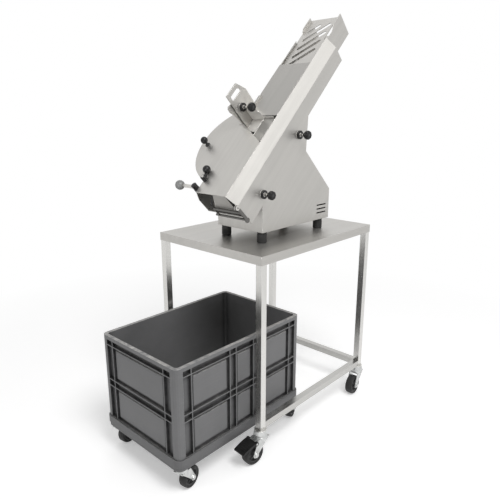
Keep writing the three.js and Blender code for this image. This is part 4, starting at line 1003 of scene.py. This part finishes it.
class SLICER_OT_chute(bpy.types.Operator):
    """Inclined chute, hopper, cover plates and what hangs in the mouth"""

    bl_idname = "slicer.chute"
    bl_label = "Chute"

    def execute(self, context):
        dress("Sheet brushed up the slope", "hopper", "blade_cover", "blade_pan", "width_guide")
        dress("Chute plate in painted shade", "chute_tray")
        dress("Cover plate in painted shade", "chute_cover", "hold_down_bracket")
        dress("Hold-down sheet", "hold_down_plate")
        dress("Ground blade steel", "blade")
        dress("Blackened steel", "spindle", "blade_nut")
        dress("Darkened rod", "outlet_guard")
        self.strap(context.scene.slicer_sizes.strap_length / MM)
        self.hold_down_painted_sheets()
        self.cover_lug()
        self.guard_pivot()
        return {"FINISHED"}

    def hold_down_painted_sheets(self):
        """Thin sheets laid on the two levels of the hold-down foot, a darker one above for painted shade and
        a lighter one below for painted light, and the rolled edge between them.
        """
        tip = 342
        upper = slab([(237, 37), (tip, 37), (tip, 82), (240, 82), (237, 79)], 199.6, 201)
        piece("foot_painted_shade_sheet", upper, ON_SLOPE, "Foot plate in painted shade", "hold_down", soften=0.4, segments=2)
        lower = slab([(286, 84), (tip, 84), (tip, 144.4), (292, 144.4), (286, 138)], 189.6, 191)
        piece("foot_painted_light_sheet", lower, ON_SLOPE, "Foot plate in painted light", "hold_down", soften=0.4, segments=2)
        # The rolled edge is a rounded lip in the brighter rod steel, which adds a painted highlight along the
        # step.
        edge = swept([(238, 82.4, 200), (tip, 82.4, 200)], 1.5, 14)
        piece("foot_rolled_edge", edge, ON_SLOPE, "Bright rod", "hold_down", "stainless")
        across = ON_SLOPE @ Matrix(((0, 0, 1, 0), (1, 0, 0, 0), (0, 1, 0, 0), (0, 0, 0, 1)))
        shoulder = [(144.4, 250), (120, 245), (98, 236), (88, 225), (83, 209), (37, 207.6)]
        levels = [(37, 200.6), (82.6, 200.6), (82.6, 190.6), (144.4, 190.6)]
        # The end sheet is laid on in the lighter copy of the steel: painted light.
        sheet = slab(levels + shoulder, tip + 0.3, tip + 1.7)
        piece("foot_end_painted_light_sheet", sheet, across, "Foot plate in painted light", "hold_down", soften=0.3, segments=2)
        # The bead along the shoulder is a rounded lip in the brighter rod steel, which adds a painted
        # highlight along that edge.
        bead = swept([(tip + 1, y, height) for y, height in shoulder], 1.1, 12)
        piece("foot_end_bead", bead, ON_SLOPE, "Bright rod", "hold_down", "stainless")

    def cover_lug(self):
        """The upright lug on the blade cover, behind the hold-down plate."""
        upright = ON_SLOPE @ Matrix(((1, 0, 0, 0), (0, 0, -1, 0), (0, 1, 0, 0), (0, 0, 0, 1)))
        back = 321.4
        shape = slab([
            (300, COVER_SEAT), (296, 240), (292, 262), (284, 282), (284, 297), (291, 304), (307, 300),
            (back, 296), (back, COVER_SEAT),
        ], -155, -152)
        piece("cover_lug_sheet", shape, upright, "Sheet brushed up the slope", "blade_cover", soften=0.8)
        foot = brick(298, back, 151.6, 166, 210.9, 213.4)
        piece("cover_lug_foot", foot, ON_SLOPE, "Sheet brushed up the slope", "blade_cover", soften=0.6)

    def guard_pivot(self):
        """A bright washer at the pivot of the outlet guard."""
        place = ON_SLOPE @ Matrix.Translation((-15.5, 0, 164.5)) @ AXIS_ALONG_Y
        washer = ring_lathe([(3.4, -6.6), (8.2, -6.6), (8.8, -6.2), (8.8, -5.2), (3.4, -5.2)], 36)
        piece("guard_pivot_washer", washer, place, "Bright rod", "outlet_guard", "stainless")

    def strap(self, length):
        """A rubber strap that hangs straight down from the roof's front edge."""
        roof = ON_SLOPE @ Vector((-11.5, 84, 209.5))
        place = Matrix.Translation(roof) @ Matrix.Scale(MM, 4)
        shape = brick(-1.2, 1.2, -4, 4, -length, 0)
        piece("mouth_strap", shape, place, "Black grip plastic", "blade_cover", "rubber", soften=0.6)


def knob_axes(joint):
    """Axes in millimetres whose z is the slicer's own y, on the axis of a knob's joint."""
    axis = Vector(JOINTS[joint]["pos_m"])
    return Matrix.Translation((axis.x, HOUSING.y, axis.z)) @ AXIS_ALONG_Y @ Matrix.Scale(MM, 4)


class SLICER_OT_grips(bpy.types.Operator):
    """Grip knobs, ball knob, latch and lever"""

    bl_idname = "slicer.grips"
    bl_label = "Grips"

    def execute(self, context):
        sizes = context.scene.slicer_sizes
        radius, sides, bracket = sizes.knob_radius / MM, ("lower", "upper"), 145
        for side in sides:
            self.knob(f"{side}_side_knob", f"{side}_knob_turn", -23, 4.7, radius)
        self.knob("hold_down_knob", "hold_down_knob_turn", bracket - 31, 155.2, radius)
        nut = lathe([(0, 153), (9.4, 153), (10, 153.8), (10, 156.4), (9.4, 157.2), (0, 157.2)], 6)
        place = knob_axes("hold_down_knob_turn")
        piece("hold_down_knob_nut", nut, place, "Zinc pressing", "hold_down_knob", smooth_angle=20)
        for side in sides:
            self.boss_ring(f"{side}_side_boss", f"{side}_knob_turn", -KNOB_BOSS, "slicer")
        self.boss_ring("hold_down_boss", "hold_down_knob_turn", bracket - KNOB_BOSS, "hold_down")
        self.cover_ball(sizes.ball_radius / MM)
        self.latch()
        self.lever()
        return {"FINISHED"}

    def boss_ring(self, name, joint, face, body):
        """A black sleeve and seal on the boss that a knob clamps against, with a bright bush inside."""
        seal = [
            (7.2, -0.4), (7.6, -0.8), (14.4, -0.8), (15.2, -0.1), (15.2, 6.6), (14.9, 6.8), (14.9, 0.3),
            (7.2, 0.3),
        ]
        bush = [(5.4, -0.4), (6.8, -0.4), (7.1, -0.1), (7.1, 0.4), (5.4, 0.4)]
        place = knob_axes(joint)
        piece(f"{name}_seal", ring_lathe(lifted(seal, face), 44), place, "Black grip plastic", body)
        piece(f"{name}_bush", ring_lathe(lifted(bush, face), 32), place, "Bright rod", body)

    def knob(self, name, joint, foot, stem_end, radius):
        """A fluted head on a bright screw. Its foot and stem_end are places along the slicer's own y."""
        place = knob_axes(joint)
        start = foot - 24
        head = lathe(lifted([
            (0, 0.6), (4.5, 0.6), (5.2, 0), (radius - 3.4, 0.3), (radius - 1.2, 1.5), (radius, 4),
            (radius, 8), (radius, 12), (radius - 0.6, 14.5), (radius - 2.4, 16.5), (radius - 5.2, 18),
            (7.6, 20), (7.2, 24), (0, 24),
        ], start), 56, lobes=8, lobe_depth=1.5, lobe_range=(start + 1.4, start + 15))
        grip = piece(f"{name}_head", head, place, "Black grip plastic", name, smooth_angle=50)
        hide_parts(name)
        stem = lathe([
            (0, foot - 1), (6.4, foot - 1), (6.4, foot + 0.1), (5, foot + 0.5), (5, stem_end - 0.6),
            (4.6, stem_end), (0, stem_end),
        ], 32)
        piece(f"{name}_screw", stem, place, "Bright rod", name)
        badge = lathe(lifted([(0, -0.2), (4.0, -0.2), (4.4, 0.2), (4.4, 1), (0, 1)], start), 28)
        piece(f"{name}_insert", badge, place, "Nylon wheel centre", name)

    def cover_ball(self, radius):
        place = ON_SLOPE @ Matrix.Translation((198, 258, COVER_SEAT))
        raised = place @ Matrix.Translation((0, 0, 24))
        ball = ball_shape(radius, 40)
        head = piece("cover_ball_head", ball, raised, "Black grip plastic", "blade_cover", smooth_angle=60)
        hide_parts("cover_ball_knob")
        profile = [(0, 0), (9, 0), (9, 2.4), (7.6, 3.6), (5.4, 4), (5, 5), (4.4, 14), (4.4, 16), (0, 16)]
        stem = lathe(profile, 32)
        piece("cover_ball_stem", stem, place, "Blackened steel", "blade_cover", "zinc")

    def latch(self):
        pivot, knob = Vector((44, 154)), Vector((79, 164))
        reach = (knob - pivot).length
        turn = math.atan2(knob.y - pivot.y, knob.x - pivot.x)
        place = ON_SLOPE @ Matrix.Translation((pivot.x, pivot.y, COVER_SEAT)) @ Matrix.Rotation(turn, 4, "Z")
        post = lathe([(0, 0), (9, 0), (9, 2), (8, 3), (8, 5), (9, 6), (9, 19), (8, 20), (0, 20)], 36)
        post_piece = piece("latch_post", post, place, "Black grip plastic", "cover_latch")
        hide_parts("cover_latch")
        near_edge = [(0, -7.5), (reach * 0.5, -5), (reach, -6.5)]
        arm = slab(near_edge + [(reach, 6.5), (reach * 0.5, 5), (0, 7.5)], 5, 12.5)
        piece("latch_arm", arm, place, "Black grip plastic", "cover_latch", soften=1.6)
        grip = place @ Matrix.Translation((reach, 0, 14))
        piece("latch_ball", ball_shape(14, 44), grip, "Black grip plastic", "cover_latch", smooth_angle=60)
        screw = lathe([(0, 20), (4.6, 20), (4.6, 21.4), (3.4, 22.4), (0, 22.6)], 28)
        piece("latch_screw", screw, place, "Bright rod", "cover_latch")

    def lever(self):
        dress("Black grip plastic", "lever_hub")
        x, height, ball = 8, 215.5, 17
        collar = lathe([
            (3.1, 209), (10.4, 209), (10.4, 210), (9.8, 211), (9.8, 225), (10.4, 226), (10.4, 227),
            (9.4, 227.6), (3.1, 227.6),
        ], 40)
        hub_place = ON_SLOPE @ Matrix.Translation((x, 174, 0))
        hub = piece("lever_collar", collar, hub_place, "Black grip plastic", "lever_rod")
        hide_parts("lever_rod")
        bar_place = ON_SLOPE @ Matrix.Translation((x, 0, height)) @ AXIS_ALONG_Y
        bar = lathe([(0, 180), (6.5, 180), (6.5, 236), (6.1, 237), (6.1, 244), (0, 244)], 36)
        piece("lever_bar", bar, bar_place, "Bright rod", "lever_rod")
        grip = ON_SLOPE @ Matrix.Translation((x, 247 + ball / 2, height)) @ AXIS_ALONG_Y
        piece("lever_ball", ball_shape(ball, 48), grip, "Grey ball plastic", "lever_rod", smooth_angle=60)
        cap = lathe([(0, 14), (6, 14), (6, 16.2), (5, 16.8), (0, 17)], 30)
        piece("lever_ball_cap", cap, grip, "Black grip plastic", "lever_rod")


class SLICER_PT_panel(bpy.types.Panel):
    """Lists what dresses the slicer"""

    bl_label = "Roll slicer"
    bl_idname = "SLICER_PT_panel"
    bl_space_type = "VIEW_3D"
    bl_region_type = "UI"
    bl_category = "Slicer"

    def draw(self, context):
        layout = self.layout
        scene = context.scene
        groups = {"Finishes": scene.slicer_looks, "Sizes": scene.slicer_sizes, "Stage": scene.slicer_stage}
        for title, settings in groups.items():
            box = layout.box()
            box.label(text=title)
            for name in settings.bl_rna.properties.keys():
                if name not in ("rna_type", "name"):
                    box.prop(settings, name)
        for operator in OPERATORS:
            layout.operator(operator.bl_idname)


OPERATORS = (
    SLICER_OT_finishes, SLICER_OT_stage, SLICER_OT_stand, SLICER_OT_castors, SLICER_OT_crate,
    SLICER_OT_housing, SLICER_OT_chute, SLICER_OT_grips,
)
SETTINGS = (SlicerLooks, SlicerSizes, SlicerStage)
CLASSES = SETTINGS + OPERATORS + (SLICER_PT_panel,)


def register():
    for kind in CLASSES:
        bpy.utils.register_class(kind)
    bpy.types.Scene.slicer_looks = bpy.props.PointerProperty(type=SlicerLooks)
    bpy.types.Scene.slicer_sizes = bpy.props.PointerProperty(type=SlicerSizes)
    bpy.types.Scene.slicer_stage = bpy.props.PointerProperty(type=SlicerStage)


def unregister():
    del bpy.types.Scene.slicer_looks
    del bpy.types.Scene.slicer_sizes
    del bpy.types.Scene.slicer_stage
    for kind in reversed(CLASSES):
        bpy.utils.unregister_class(kind)


def main():
    register()
    bpy.ops.slicer.finishes()
    bpy.ops.slicer.stage()
    bpy.ops.slicer.stand()
    bpy.ops.slicer.castors()
    bpy.ops.slicer.crate()
    bpy.ops.slicer.housing()
    bpy.ops.slicer.chute()
    bpy.ops.slicer.grips()
    bpy.context.view_layer.update()


if __name__ == "__main__":
    main()
